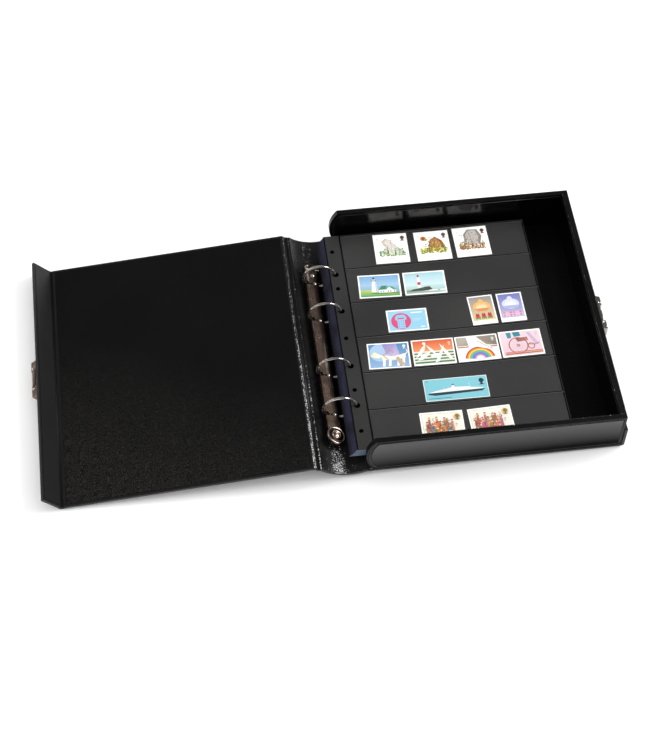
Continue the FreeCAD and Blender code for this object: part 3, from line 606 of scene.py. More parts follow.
def wall_path(inset, y, along_floor=True):
    """Points around a long wall, inset from its outline: rim, bulge at the spine, then the floor."""
    low, high = WALL_LOW + inset, WALL_HIGH - inset
    left, right = WALL_LEFT + inset, WALL_RIGHT - inset
    radius = WALL_BULGE - inset
    half = (high - low) / 2
    centre = Vector((left + math.sqrt(radius * radius - half * half), 0, (low + high) / 2))
    reach = math.asin(half / radius)
    steps = 18
    points = [Vector((right, y, high)), Vector(((left + right) / 2, y, high))]
    for i in range(steps + 1):
        angle = math.pi - reach + 2 * reach * i / steps
        points.append(Vector((centre.x + radius * math.cos(angle), y, centre.z + radius * math.sin(angle))))
    if along_floor:
        points += [Vector(((left + right) / 2, y, low)), Vector((right, y, low))]
    return points


# The welts' lighter tone paints a highlight line along them.
WELT_HIGHLIGHT = leatherette("pressed_welt_highlight", 0.02, 0.25, 0.6, 0.05, specular=0.6)
# Painted shade: near-black tubes and discs stand for the shade in the panel grooves, the boss recess and the plate
# notches.
GROOVE_SHADE = lining_material("painted_groove_shade", 0.0012, 0.3, 0.6, 0.02, specular=0.2)
CORE_OUTER = 136.9
CORE_INNER = 131.9
TRAY_INNER = 131.5
PANEL_PROUD = 0.25
WELT_SINK = 0.2
GROOVE_INSET = 2.9
WELT_INSET = 2.1
LINING_INSET = 2.5
GROOVE_RADIUS = 0.42
WELT_RADIUS = 0.34
LINING_WELT_RADIUS = 0.3
FORE_WELT_DROP = 2.3
FORE_WALL_THICK = 6.0
for side, sign in (("rear", 1), ("front", -1)):
    outer_y = sign * (CORE_OUTER + PANEL_PROUD)
    groove = wall_path(GROOVE_INSET, outer_y)
    groove.append(Vector((WALL_RIGHT - GROOVE_INSET, outer_y, WALL_HIGH - GROOVE_INSET)))
    welt = wall_path(WELT_INSET, outer_y - sign * WELT_SINK)
    lining = wall_path(LINING_INSET, sign * TRAY_INNER, along_floor=False)
    attach(tube(side + "_panel_groove", case, groove, GROOVE_RADIUS, GROOVE_SHADE), "case")
    attach(tube(side + "_panel_welt", case, welt, WELT_RADIUS, WELT_HIGHLIGHT), "case")
    attach(tube(side + "_lining_welt", case, lining, LINING_WELT_RADIUS, WELT_HIGHLIGHT), "case")
fore_x = WALL_RIGHT - FORE_WALL_THICK
fore_line = [Vector((fore_x - WELT_SINK, y, WALL_HIGH - FORE_WELT_DROP))
             for y in (-TRAY_INNER, 0.0, TRAY_INNER)]
attach(tube("fore_lining_welt", case, fore_line, LINING_WELT_RADIUS, WELT_HIGHLIGHT), "case")

# Turned edges of the covering along the rim of the tray, with painted highlight specks
fore_wall_low, fore_wall_high = extent("fore_edge_wall", case)
rear_wall_low, rear_wall_high = extent("rear_wall", case)
BEAD_INSET = 0.5
BEAD_RADIUS = 0.36
RIM_XS = (WALL_LEFT + 22.0, -120.0, WALL_RIGHT - 2.0)
RIM_BEADS = (("fore_rim_inner", fore_wall_low.x + BEAD_INSET, None),
             ("fore_rim_outer", fore_wall_high.x - BEAD_INSET, None),
             ("front_rim", None, -rear_wall_low.y - BEAD_INSET),
             ("rear_rim", None, rear_wall_high.y - BEAD_INSET))
for name, x, y in RIM_BEADS:
    if x is None:
        rim = [Vector((at, y, rear_wall_high.z)) for at in RIM_XS]
    else:
        rim = [Vector((x, at, fore_wall_high.z)) for at in (-CORE_INNER, 0.0, CORE_INNER)]
    attach(tube(name + "_bead", case, rim, BEAD_RADIUS, BEAD_SKIN, 10), "case")

# Painted shadows along the pocket seams and edges, and painted highlights on the pocket lips
EDGE_SHADOW = lining_material("painted_edge_shadow", 0.0016, 0.25, 0.8, 0.01, specular=0.3)
LIP_HIGHLIGHT = lining_material("painted_film_lip_highlight", 0.075, 0.3, 0.8, 0.01, specular=0.5)
page_top = page_high.z
seam_top = page_top + 0.36
margin_right = extent("page_1_margin_strip", case)[1].x


PAD_SHOULDER = 0.05


def span(at, lap):
    """Limits below and above at."""
    return at + lap[0], at + lap[1]


def page_pad(name, xs, ys, zs, material, arch=0.25):
    """Shallow pad with rounded long edges on the top page, between limits in the closed album's frame."""
    wide = xs[1] - xs[0] > ys[1] - ys[0]
    along, across = (xs, ys) if wide else (ys, xs)
    low, high = zs
    edge = (across[1] - across[0]) * arch
    section = ((across[0], low), (across[0], high - PAD_SHOULDER), (across[0] + edge, high),
               (across[1] - edge, high), (across[1], high - PAD_SHOULDER), (across[1], low))
    vertices = []
    for at in along:
        for c, z in section:
            vertices.append(case @ Vector((at, c, z) if wide else (c, at, z)))
    faces = [tuple(range(6)), tuple(reversed(range(6, 12)))]
    faces += [(i, (i + 1) % 6, (i + 1) % 6 + 6, i + 6) for i in range(6)]
    attach(add_mesh(name, vertices, faces, material), "top_page")


LIP_LAP = (-0.35, 0.25)
LIP_RISE = (-0.02, 0.10)
SEAM_LAP = (0.3, 1.5)
END_SEAM_LAP = (-0.3, 1.1)
END_SEAM_TOP = 0.16
END_SEAM_INSET = 0.6
SPINE_EDGE_LAP = (-0.2, 1.1)
SPINE_EDGE_RISE = (0.3, 0.42)
SPINE_EDGE_INSET = 0.3
OPEN_EDGE_LAP = (-0.9, 0.2)
OPEN_EDGE_TOP = 0.05
strips = [extent("pocket_strip_%d" % i, case) for i in range(1, 7)]
for index, (low, high) in enumerate(strips, start=1):
    # Painted highlight on each strip's lip and painted shadow along its seam.
    page_pad("pocket_lip_highlight_%d" % index, (low.x, high.x), span(high.y, LIP_LAP),
             span(high.z, LIP_RISE), LIP_HIGHLIGHT)
    page_pad("pocket_edge_shadow_%d" % index, (low.x, high.x), span(high.y, SEAM_LAP),
             (page_top, seam_top), EDGE_SHADOW)
film_low, film_high = strips[5][0], strips[0][1]
# Painted shadows along the pockets' left ends, the page's spine edge and the pockets' open ends.
page_pad("pocket_end_shadow", span(margin_right, END_SEAM_LAP),
         (page_low.y + END_SEAM_INSET, page_high.y - END_SEAM_INSET),
         (page_top, film_high.z + END_SEAM_TOP), EDGE_SHADOW)
page_pad("page_spine_edge", span(page_low.x, SPINE_EDGE_LAP),
         (page_low.y + SPINE_EDGE_INSET, page_high.y - SPINE_EDGE_INSET),
         span(page_top, SPINE_EDGE_RISE), EDGE_SHADOW)
page_pad("pocket_open_edge", span(film_high.x, OPEN_EDGE_LAP), (film_low.y, film_high.y),
         (page_top, film_high.z + OPEN_EDGE_TOP), EDGE_SHADOW)

# Ring mechanism: stepped end boss with a painted shade ring in its recess, joints of the wires with painted shade
# in their notches, and curled lever tips. The profiles list (radius, height) from the rim to the middle.
plate_low, plate_high = extent("ring_top_plate", rings)
BOSS = ((9.2, -1.4), (9.3, 0.2), (8.9, 1.0), (8.2, 1.15), (7.5, 0.7), (7.0, 0.2), (6.0, 0.3), (4.9, 1.0),
        (4.3, 1.9), (4.0, 2.3), (3.5, 2.45), (3.0, 2.2), (2.5, 1.7), (2.0, 1.6), (1.5, 1.9), (0.9, 2.1),
        (0.02, 2.15))
BOSS_SHADE = ((7.5, 0.72), (7.2, 0.62), (6.2, 0.55), (5.4, 0.8), (5.1, 1.0))
NOTCH = ((1.15, -0.5), (1.15, 0.1), (0.9, 0.16), (0.02, 0.16))
PEG = ((1.9, -0.8), (1.9, 0.3), (1.6, 0.8), (1.0, 1.1), (0.4, 1.2), (0.02, 1.22))
BRIGHT = metal("polished_nickel", (0.92, 0.86, 0.78, 1), 0.07, 0.2)
BRONZE = metal("worn_nickel", (0.66, 0.52, 0.43, 1), 0.12, 0.3)
BOSS_X = -0.9
BOSS_INSET = 9.0
BOSS_SINK = 0.7
RING_YS = (-77.5, -32.5, 32.5, 77.5)
NOTCHES = (("outer", -5.2, -0.3), ("inner", -2.6, -0.07))
NOTCH_SHIFT = 1.0
PEG_X = 1.2
PEG_SHIFT = 0.4
PEG_SINK = 0.2


def turned_metal(name, place, at, profile, material, sides, body, lean=0.0):
    """Small turned fitting at a point of a frame, leaning about Y."""
    where = place @ Matrix.Translation(Vector(at)) @ Matrix.Rotation(math.radians(lean), 4, "Y")
    attach(lathe(name, where, profile, material, sides), body)


boss_at = (BOSS_X, plate_low.y + BOSS_INSET, plate_high.z - BOSS_SINK)
turned_metal("plate_end_boss", rings, boss_at, BOSS, BRONZE, 48, "spine")
turned_metal("plate_end_shade", rings, boss_at, BOSS_SHADE, GROOVE_SHADE, 48, "spine")
for index, y in enumerate(RING_YS, start=1):
    peg_at = (PEG_X, y - PEG_SHIFT, plate_high.z - PEG_SINK)
    turned_metal("ring_peg_%d" % index, rings, peg_at, PEG, BRIGHT, 24, "spine")
    for mark, x, drop in NOTCHES:
        notch_at = (x, y - NOTCH_SHIFT, plate_high.z + drop)
        turned_metal("ring_notch_%s_%d" % (mark, index), rings, notch_at, NOTCH, GROOVE_SHADE, 20, "spine")

CURL_STEPS = 15
CURL_START = -70
CURL_TURN = 20
CURL_THINNING = 0.03
CURL_RADIUS = 1.9
CURL_WIRE = 0.95
CURL_PITCH = 0.09
CURL_GAP = 6.0
CURL_INSET = 6.2
CURL_RISE = 2.2
lever_high = extent("opening_lever", rings)[1]
for side, sign in (("left", -1), ("right", 1)):
    curl = []
    for i in range(CURL_STEPS):
        angle = math.radians(CURL_START + CURL_TURN * i)
        curl.append(Vector((-PEG_X + sign * (CURL_GAP + CURL_RADIUS * math.sin(angle)),
                            lever_high.y - CURL_INSET + CURL_PITCH * i,
                            plate_high.z + CURL_RISE - CURL_RADIUS * math.cos(angle))))
    taper = [1.0 - CURL_THINNING * i for i in range(CURL_STEPS)]
    attach(tube("lever_curl_" + side, rings, curl, CURL_WIRE, BRIGHT, 10, taper), "lever")

# Bright domes and edges of the clasp blocks, on the ends that face up while the album lies open
DOME = ((1.4, -0.4), (1.35, 0.3), (1.0, 0.8), (0.5, 1.05), (0.02, 1.1))
DOME_Y = 11.6
EDGE_YS = (9.6, 14.0)
EDGE_INSET = 0.6
EDGE_RADIUS = 0.45
HASP_DOME_INSET = 3.4
HASP_EDGE_RISE = 1.2
CATCH_DOME_INSET = 3.0
CATCH_DOME_SINK = 1.7
CATCH_EDGE_SINK = 3.0
CATCH_SLOPE = 24.0
hasp_low, hasp_high = extent("hasp_base", flap)
catch_high = extent("catch_base", case)[1]
CLASPS = (
    ("hasp", flap, "flap", hasp_high, hasp_high.x - HASP_DOME_INSET, hasp_low.z, 180.0,
     hasp_low.z + HASP_EDGE_RISE),
    ("catch", case, "case", catch_high, catch_high.x - CATCH_DOME_INSET, catch_high.z - CATCH_DOME_SINK,
     CATCH_SLOPE, catch_high.z - CATCH_EDGE_SINK),
)
for clasp, place, body, corner, dome_x, dome_z, lean, edge_z in CLASPS:
    for side, sign in (("near", -1), ("far", 1)):
        dome_at = (dome_x, sign * DOME_Y, dome_z)
        turned_metal("%s_dome_%s" % (clasp, side), place, dome_at, DOME, BRIGHT, 20, body, lean)
        edge = [Vector((corner.x, sign * y, edge_z)) for y in EDGE_YS + (corner.y - EDGE_INSET,)]
        attach(tube("%s_edge_%s" % (clasp, side), place, edge, EDGE_RADIUS, BRIGHT, 10), body)

# ---------------------------------------------------------------- printed stamps

PAPER_TOP = 20.50
INK_STEP = 0.012
PAPER_THICK = 0.12
PAPER_INK = 0xF6F5F1
# Painted shade: the stamps' cut sides fade to this darker tint at their lower edge.
PAPER_EDGE_SHADE = 0xE6E4DE
STAMP_GAP = 1.0
CORNERS_APART = 5.0
PERF_PITCH = 1.45
PERF_RADIUS = 0.36


INK_STRENGTH = 0.82


def rgb(code, strength=INK_STRENGTH):
    """Linear colour of an 0xRRGGBB number."""
    parts = ((code >> 16) & 255, (code >> 8) & 255, code & 255)
    return tuple((part / 255.0) ** 2.2 * strength for part in parts) + (1.0,)


BORDER = 1.3
WIDE_BORDER = 1.4


class Print:
    """Collects flat inked shapes of one stamp.

    poly, rect, disc and stroke take millimetres from the stamp's lower left corner; the other
    drawing methods take places as shares of the stamp's width and height.
    """

    def __init__(self, corner, right, up, width, height):
        self.corner = corner
        self.right = right
        self.up = up
        self.width = width
        self.height = height
        self.vertices = []
        self.faces = []
        self.inks = []
        self.layer = 0

    def poly(self, points, ink, lift=True):
        """One shape; ink is one colour, or one colour per point."""
        if lift:
            self.layer += 1
        start = len(self.vertices)
        height = PAPER_TOP + INK_STEP * self.layer
        colours = ink if isinstance(ink, list) else [ink] * len(points)
        for (u, v), code in zip(points, colours):
            place = self.corner + self.right * u + self.up * v
            self.vertices.append(case @ Vector((place.x, place.y, height)))
            self.inks.append(rgb(code))
        self.faces.append(tuple(range(start, start + len(points))))

    def rect(self, u0, v0, u1, v1, ink, top=None, lift=True):
        inks = ink if top is None else [ink, ink, top, top]
        self.poly([(u0, v0), (u1, v0), (u1, v1), (u0, v1)], inks, lift)

    def disc(self, u, v, radius, ink, squash=1.0, lift=True, sides=20):
        points = [(u + radius * math.cos(a), v + radius * squash * math.sin(a))
                  for a in (2 * math.pi * i / sides for i in range(sides))]
        self.poly(points, ink, lift)

    def scaled(self, *shares):
        """Points in millimetres."""
        return [(self.width * x, self.height * y) for x, y in shares]

    def shape(self, shares, ink, lift=True):
        self.poly(self.scaled(*shares), ink, lift)

    def line(self, shares, width, ink, lift=True):
        self.stroke(self.scaled(*shares), width, ink, lift)

    def block(self, x0, y0, x1, y1, ink, top=None, lift=True):
        (u0, v0), (u1, v1) = self.scaled((x0, y0), (x1, y1))
        self.rect(u0, v0, u1, v1, ink, top, lift)

    def dot(self, x, y, radius, ink, squash=1.0, lift=True, sides=20):
        self.disc(self.width * x, self.height * y, radius, ink, squash, lift, sides)

    def band(self, x, y, inner, outer, start, end, ink, lift=True, steps=20):
        """Part of a ring between two radii, from start to end degrees."""
        u, v = self.scaled((x, y))[0]
        angles = [math.radians(start + (end - start) * i / steps) for i in range(steps + 1)]
        points = [(u + outer * math.cos(a), v + outer * math.sin(a)) for a in angles]
        points += [(u + inner * math.cos(a), v + inner * math.sin(a)) for a in reversed(angles)]
        self.poly(points, ink, lift)

    def stroke(self, points, width, ink, lift=True):
        """Line of even width through the points."""
        left = []
        right = []
        for i, (u, v) in enumerate(points):
            u0, v0 = points[max(i - 1, 0)]
            u1, v1 = points[min(i + 1, len(points) - 1)]
            length = math.hypot(u1 - u0, v1 - v0) or 1.0
            du, dv = (v0 - v1) / length * width / 2, (u1 - u0) / length * width / 2
            left.append((u + du, v + dv))
            right.append((u - du, v - dv))
        self.poly(left + right[::-1], ink, lift)

    def specks(self, box, count, sizes, inks, squash=0.8):
        """Scatter of small dabs of colour inside box, all on one layer pair."""
        (u0, v0), (u1, v1) = self.scaled(box[:2], box[2:])
        for i in range(count):
            self.disc(random.uniform(u0, u1), random.uniform(v0, v1), random.uniform(*sizes),
                      random.choice(inks), squash, lift=i % 12 == 0, sides=7)

    def captions(self, x, y, lengths, ink, height=0.5, gap=1.0):
        """Plain bars where small print would sit; lengths are in millimetres."""
        u, v = self.scaled((x, y))[0]
        self.layer += 1
        for row, length in enumerate(lengths):
            low = v - row * gap
            self.rect(u, low, u + length, low + height, ink, lift=False)

    def cameo(self, x, y, size, ink):
        """Plain head and shoulders, as a small emblem."""
        u, v = self.scaled((x, y))[0]
        self.layer += 1
        self.disc(u, v + size * 0.62, size * 0.30, ink, 1.12, lift=False)
        self.poly([(u - size * 0.10, v + size * 0.40), (u + size * 0.10, v + size * 0.40),
                   (u + size * 0.13, v + size * 0.16), (u + size * 0.36, v), (u - size * 0.36, v),
                   (u - size * 0.13, v + size * 0.16)], ink, lift=True)
        self.disc(u + size * 0.18, v + size * 0.62, size * 0.17, ink, 1.0, lift=True)


def perforated_outline(width, height):
    """Rectangle with a row of small bites along each side."""
    corners = ((0.0, 0.0), (width, 0.0), (width, height), (0.0, height))
    outline = []
    for i, (u0, v0) in enumerate(corners):
        u1, v1 = corners[(i + 1) % 4]
        length = math.hypot(u1 - u0, v1 - v0)
        du, dv = (u1 - u0) / length, (v1 - v0) / length
        count = int(length / PERF_PITCH)
        step = length / count
        outline.append((u0, v0))
        for hole in range(count):
            middle = step * (hole + 0.5)
            for angle in (180, 135, 90, 45, 0):
                a = math.radians(angle)
                along = middle + PERF_RADIUS * math.cos(a)
                inward = PERF_RADIUS * math.sin(a)
                outline.append((u0 + du * along - dv * inward, v0 + dv * along + du * inward))
    return outline


def draw_garden(art, w, h, body, leaves, flowers):
    """White stamp with a plant sketch, a pale ground and an emblem at the upper right.

    body is (outer colour, outline, inner colour, line colour, colours of its dabs).
    """
    outer_ink, outline, inner_ink, line_ink, dabs = body
    points = art.scaled(*outline)
    middle = w * 0.5
    ground = h * 0.26
    art.specks((0.14, 0.24, 0.90, 0.42), 90, (0.5, 1.4), leaves)
    art.poly(points, outer_ink)
    art.poly([(middle + (u - middle) * 0.72, v * 0.94 + 0.8) for u, v in points], inner_ink)
    art.specks((0.30, 0.40, 0.72, 0.72), 46, (0.25, 0.7), dabs)
    for u, v in points[::2]:
        bend = ((u + middle) / 2 + 0.6, (v + h * 0.42) / 2)
        art.stroke([(middle, h * 0.42), bend, (u, v)], 0.28, line_ink)
    for i in range(7):
        u = w * (0.16 + 0.11 * i)
        tip = h * random.uniform(0.40, 0.58)
        art.poly([(u - 0.8, ground), (u + 0.8, ground), (u + 1.2, (tip + ground) / 2), (u + 0.4, tip)],
                 leaves[i % len(leaves)])
    art.specks((0.14, 0.24, 0.86, 0.50), 60, (0.35, 0.95), leaves + flowers)
    art.specks((0.18, 0.50, 0.62, 0.80), 26, (0.25, 0.7), flowers)
    art.captions(0.28, 0.15, (w * 0.44, w * 0.30), 0xB9BCC0, 0.35, 1.3)
    art.captions(0.10, 0.86, (2.2, 1.6, 2.0), 0xC3CDD6, 0.4, 1.1)
    art.cameo(0.86, 0.74, 6.4, 0x5E3B2A)


def draw_blossom(art, w, h):
    outline = ((0.26, 0.32), (0.76, 0.26), (0.80, 0.44), (0.64, 0.58), (0.50, 0.78), (0.36, 0.86),
               (0.24, 0.74), (0.34, 0.54))
    body = (0xD9D3C8, outline, 0xEFE9E0, 0x9C8B7E, [0xF6F2EC, 0xE2CFC6, 0xD2C6B0, 0xC9B4B0])
    draw_garden(art, w, h, body, [0x4E9150, 0x9CC089, 0x2F7F4E, 0xC9D6A4], [0xE2B2AC, 0xF0E08A, 0xFAFAF6])


def draw_mushroom(art, w, h):
    outline = ((0.36, 0.30), (0.66, 0.32), (0.86, 0.46), (0.78, 0.66), (0.60, 0.80), (0.46, 0.72),
               (0.38, 0.52))
    body = (0x94602F, outline, 0xB98246, 0x4C2F16, [0xD49A52, 0x7A4A20, 0xE8C47C, 0x5E3A1A])
    art.dot(0.26, 0.76, 3.0, 0xC98E3E, sides=12)
    art.dot(0.26, 0.76, 1.3, 0x7A3E22, sides=10)
    draw_garden(art, w, h, body, [0x8FA62E, 0xC9CC3E, 0x5F7E2A, 0xDDD96A], [0xB87A3E, 0xE2C23C, 0x6E4A22])


def draw_mound(art, w, h):
    outline = ((0.30, 0.42), (0.74, 0.40), (0.82, 0.66), (0.72, 0.90), (0.44, 0.92), (0.30, 0.76))
    body = (0x8E867E, outline, 0xC4BDB6, 0x5E544C, [0xEDE8E2, 0x9A928A, 0xD8CFC6, 0x746A60])
    draw_garden(art, w, h, body, [0xA9793E, 0x8C6738, 0xC9A468, 0x6E5A36], [0x9C8C7C, 0xE0C088, 0x7C6A58])


def draw_lighthouse(art, w, h):
    """White tower with a green-roofed cottage beside the sea."""
    m = WIDE_BORDER
    art.rect(m, h * 0.30, w - m, h - m, 0xBFD7E8, 0x6FA9D6)
    art.rect(m, h * 0.22, w - m, h * 0.52, 0x7FA9CB, 0x9DC3DE)
    art.captions(0.10, 0.86, (w * 0.78,), 0xA9C4D8, 0.45)
    art.poly([(m, m), (w - m, m), (w - m, h * 0.22), (w * 0.6, h * 0.27), (w * 0.3, h * 0.34),
              (m, h * 0.36)], [0x3E9A63, 0x4C9C4C, 0x8DBB5A, 0xC2CE6A, 0xE6D85A, 0xBFD26A])
    art.shape([(0.30, 0.24), (0.46, 0.24), (0.42, 0.74), (0.33, 0.74)], 0xF6F7F7)
    art.shape([(0.40, 0.24), (0.46, 0.24), (0.42, 0.74), (0.395, 0.74)], 0xC9D5DF)
    art.block(0.32, 0.72, 0.43, 0.75, 0x55606E)
    art.block(0.345, 0.75, 0.405, 0.83, 0xE8EEF2)
    art.dot(0.375, 0.84, w * 0.032, 0x4A5A78)
    art.block(0.47, 0.20, 0.88, 0.33, 0xF3F3EE)
    art.shape([(0.47, 0.33), (0.62, 0.33), (0.68, 0.50), (0.54, 0.50)], 0x2F8A6C)
    art.shape([(0.60, 0.33), (0.90, 0.31), (0.80, 0.45), (0.70, 0.46)], 0x3F9C7C)
    art.shape([(0.64, 0.32), (0.72, 0.44), (0.82, 0.32)], 0xF7F7F3)
    for u in (0.51, 0.57, 0.68, 0.74, 0.83):
        art.block(u, 0.22, u + 0.022, 0.28, 0x51606C, lift=False)
    art.line([(0.3, 0.20), (0.6, 0.17), (0.95, 0.18)], 0.5, 0x2C3A44)


def draw_beacon(art, w, h):
    """Red and white tower on a rocky shore under a pale sky."""
    m = WIDE_BORDER
    art.rect(m, h * 0.34, w - m, h - m, 0xD5E9EA, 0xA6D3DE)
    art.rect(m, h * 0.18, w - m, h * 0.40, 0xA9CBCB, 0xC2DEDB)
    art.captions(0.08, 0.88, (w * 0.30,), 0x9FBAC2, 0.4)
    art.captions(0.48, 0.86, (w * 0.40,), 0xB4CBD0, 0.4)
    art.poly([(m, h * 0.22), (w * 0.3, h * 0.26), (w * 0.62, h * 0.36), (w * 0.58, h * 0.16),
              (m, h * 0.12)], [0x9DAE86, 0xA8B48A, 0x8E9878, 0x606A58, 0x7A8466])
    art.poly([(m, m), (w - m, m), (w - m, h * 0.15), (w * 0.5, h * 0.14), (m, h * 0.17)],
             [0xA8C6C0, 0xA8C6C0, 0xC8DCD6, 0x93B0A6, 0x6E8A78])
    art.shape([(0.10, 0.16), (0.66, 0.18), (0.62, 0.30), (0.5, 0.33), (0.42, 0.29), (0.2, 0.24)],
              [0x3A3F36, 0x2B2F2C, 0x4A4C44, 0x3A3C36, 0x565A4C, 0x464C40])
    stripes = (0xF4F1EE, 0xC8384A, 0xF4F1EE, 0xF4F1EE)
    for i, ink in enumerate(stripes):
        low = 0.30 + 0.12 * i
        half = 0.042 - 0.004 * i
        art.shape([(0.36 - half, low), (0.36 + half, low), (0.357 + half, low + 0.12),
                   (0.363 - half, low + 0.12)], ink, lift=i == 0)
    art.block(0.33, 0.77, 0.39, 0.80, 0x3C4650)
    art.dot(0.36, 0.83, w * 0.022, 0xB0344A)
    art.block(0.78, 0.15, 0.84, 0.17, 0x3C4446)


def draw_emblem(art, w, h):
    """Magenta disc with a keypad-like building on pale blue, and plain white bars."""
    art.rect(WIDE_BORDER, WIDE_BORDER, w - WIDE_BORDER, h - WIDE_BORDER, 0x96CDE6)
    art.dot(0.34, 0.47, h * 0.37, 0xD8487C, sides=36)
    art.shape([(0.20, 0.66), (0.20, 0.54), (0.26, 0.50), (0.26, 0.62), (0.42, 0.62), (0.42, 0.50),
               (0.48, 0.54), (0.48, 0.66), (0.42, 0.76), (0.26, 0.76)], 0x8FC4E4)
    art.shape([(0.25, 0.14), (0.43, 0.14), (0.43, 0.56), (0.25, 0.56)], 0x9CCDEA)
    art.layer += 1
    for row in range(4):
        for column in range(3):
            art.dot(0.285 + 0.055 * column, 0.21 + 0.09 * row, 0.5, 0x35609E, lift=False, sides=8)
    art.captions(0.60, 0.80, (w * 0.28,), 0xF2F6F8, 1.3)
    art.captions(0.62, 0.52, (w * 0.24, w * 0.18), 0xCBE3EE, 0.6, 1.6)
    art.captions(0.80, 0.14, (w * 0.10,), 0xF2F6F8, 1.2)


def draw_dome(art, w, h, sky, dome, trim, flowers):
    """Upright stamp with a rounded dome above a row of flowers."""
    art.rect(BORDER, h * 0.14, w - BORDER, h - BORDER, sky[0], sky[1])
    for i, ink in enumerate(dome):
        art.dot(0.5, 0.62 - 0.02 * i, w * (0.34 - 0.07 * i), ink, 0.72, sides=28)
    art.shape([(0.2, 0.56), (0.8, 0.56), (0.68, 0.46), (0.32, 0.46)], trim)
    art.dot(0.5, 0.80, w * 0.10, dome[0], 1.1)
    for i in range(5):
        art.line([(0.26 + 0.12 * i, 0.60), (0.30 + 0.10 * i, 0.72)], 0.3, trim)
    flowers(art, w, h)
    art.captions(0.34, 0.06, (w * 0.34,), 0xC2BEBE, 0.5)


def tulips(art, w, h):
    for i in range(3):
        u = w * (0.26 + 0.24 * i)
        art.poly([(u - 2.1, h * 0.16), (u, h * 0.24), (u + 2.1, h * 0.16), (u + 2.4, h * 0.28),
                  (u, h * 0.18), (u - 2.4, h * 0.28)], 0x6FA45C)
        art.disc(u, h * 0.30, 1.9, 0xD23A44, 1.15)
        art.poly([(u - 1.8, h * 0.33), (u - 1.0, h * 0.40), (u, h * 0.34), (u + 1.0, h * 0.40),
                  (u + 1.8, h * 0.33), (u, h * 0.28)], 0xB82A38)


def garland(art, w, h):
    art.block(0.1, 0.18, 0.9, 0.36, 0xE3C9DC, 0xC9A9CC)
    for row in range(2):
        for i in range(6):
            art.dot(0.17 + 0.13 * i, 0.22 + 0.09 * row, 1.2, (0xD98CA4, 0xE9B4C0, 0xC27FA6)[i % 3],
                     lift=i == 0)


def draw_dome_warm(art, w, h):
    draw_dome(art, w, h, (0xE8C99A, 0x8F8E8C), (0xF1B266, 0xF6C98A, 0xF9DDB2), 0xD88F4A, tulips)


def draw_dome_cool(art, w, h):
    draw_dome(art, w, h, (0xB7B8DC, 0x6F74B8), (0xD5DAEC, 0xE6E9F4, 0xF2F3F8), 0xA9B3D6, garland)


def draw_hound(art, w, h):
    """White hound with an orange harness on a blue ground."""
    m = BORDER
    art.rect(m, m, w - m, h - m, 0x8FB2DA, 0x4F86B4)
    art.dot(0.30, 0.62, h * 0.34, 0xA9C6E4, sides=28)
    art.shape([(0.36, 0.96), (0.70, 0.96), (0.76, 0.52), (0.62, 0.44), (0.44, 0.58)],
              [0x8F86C0, 0xA396CC, 0xBCAFD8, 0xC8BEDD, 0xA79BCB])
    for leg in (0.36, 0.50, 0.70, 0.82):
        art.shape([(leg, 0.46), (leg + 0.07, 0.46), (leg + 0.03, 0.08), (leg - 0.03, 0.08)], 0xF5F2EA)
    art.shape([(0.30, 0.52), (0.62, 0.46), (0.90, 0.56), (0.90, 0.38), (0.60, 0.30), (0.34, 0.34)],
              [0xFBFAF4, 0xF1EDE4, 0xF8F6EE, 0xE7E2DA, 0xDAD6D2, 0xF2F0EA])
    art.shape([(0.34, 0.50), (0.16, 0.66), (0.06, 0.50), (0.12, 0.44), (0.26, 0.40)],
              [0xF7F2D8, 0xF3EBC6, 0xF2E8C0, 0xE9E2C6, 0xF4F1E4])
    art.line([(0.88, 0.50), (0.95, 0.60), (0.93, 0.70)], 0.9, 0xF7F4EC)
    art.line([(0.34, 0.56), (0.42, 0.42), (0.48, 0.34)], 0.9, 0xD98A5C)
    art.line([(0.40, 0.54), (0.54, 0.72), (0.62, 0.60)], 0.8, 0xC98A62)
    art.shape([(0.74, 0.10), (0.88, 0.10), (0.72, 0.44), (0.66, 0.40)], 0xC4A98C)
    art.cameo(0.88, 0.74, 5.0, 0xDDE6EE)


def draw_branches(art, w, h):
    """Pale curved leaves over orange sky and green stripes."""
    m = BORDER
    art.rect(m, h * 0.52, w - m, h - m, 0xF09A62, 0xD8582E)
    art.rect(m, m, w - m, h * 0.54, 0xF2E9D6)
    for i in range(4):
        low = h * (0.08 + 0.115 * i)
        art.rect(m, low, w - m, low + h * 0.062, (0x2E7A5C, 0x3C8A68)[i % 2], lift=i == 0)
    leaf_sets = (((0.06, 0.30), (0.22, 0.66), (0.34, 0.84), (0.30, 0.60), (0.20, 0.40)),
                 ((0.34, 0.80), (0.50, 0.56), (0.60, 0.30), (0.50, 0.42), (0.40, 0.60)),
                 ((0.50, 0.08), (0.62, 0.42), (0.76, 0.76), (0.70, 0.42), (0.60, 0.12)),
                 ((0.66, 0.80), (0.82, 0.50), (0.95, 0.14), (0.86, 0.16), (0.72, 0.52)),
                 ((0.40, 0.34), (0.56, 0.44), (0.78, 0.42), (0.62, 0.32), (0.48, 0.28)),
                 ((0.10, 0.20), (0.24, 0.44), (0.44, 0.52), (0.36, 0.36), (0.22, 0.22)))
    for leaf in leaf_sets:
        art.shape(leaf, [0xFBF6EE, 0xFFFFFF, 0xF6E9DC, 0xF3E0D0, 0xFAF2E8])
    art.dot(0.30, 0.84, 1.6, 0xFBEFE4)
    art.cameo(0.89, 0.72, 4.6, 0xE9B7A0)


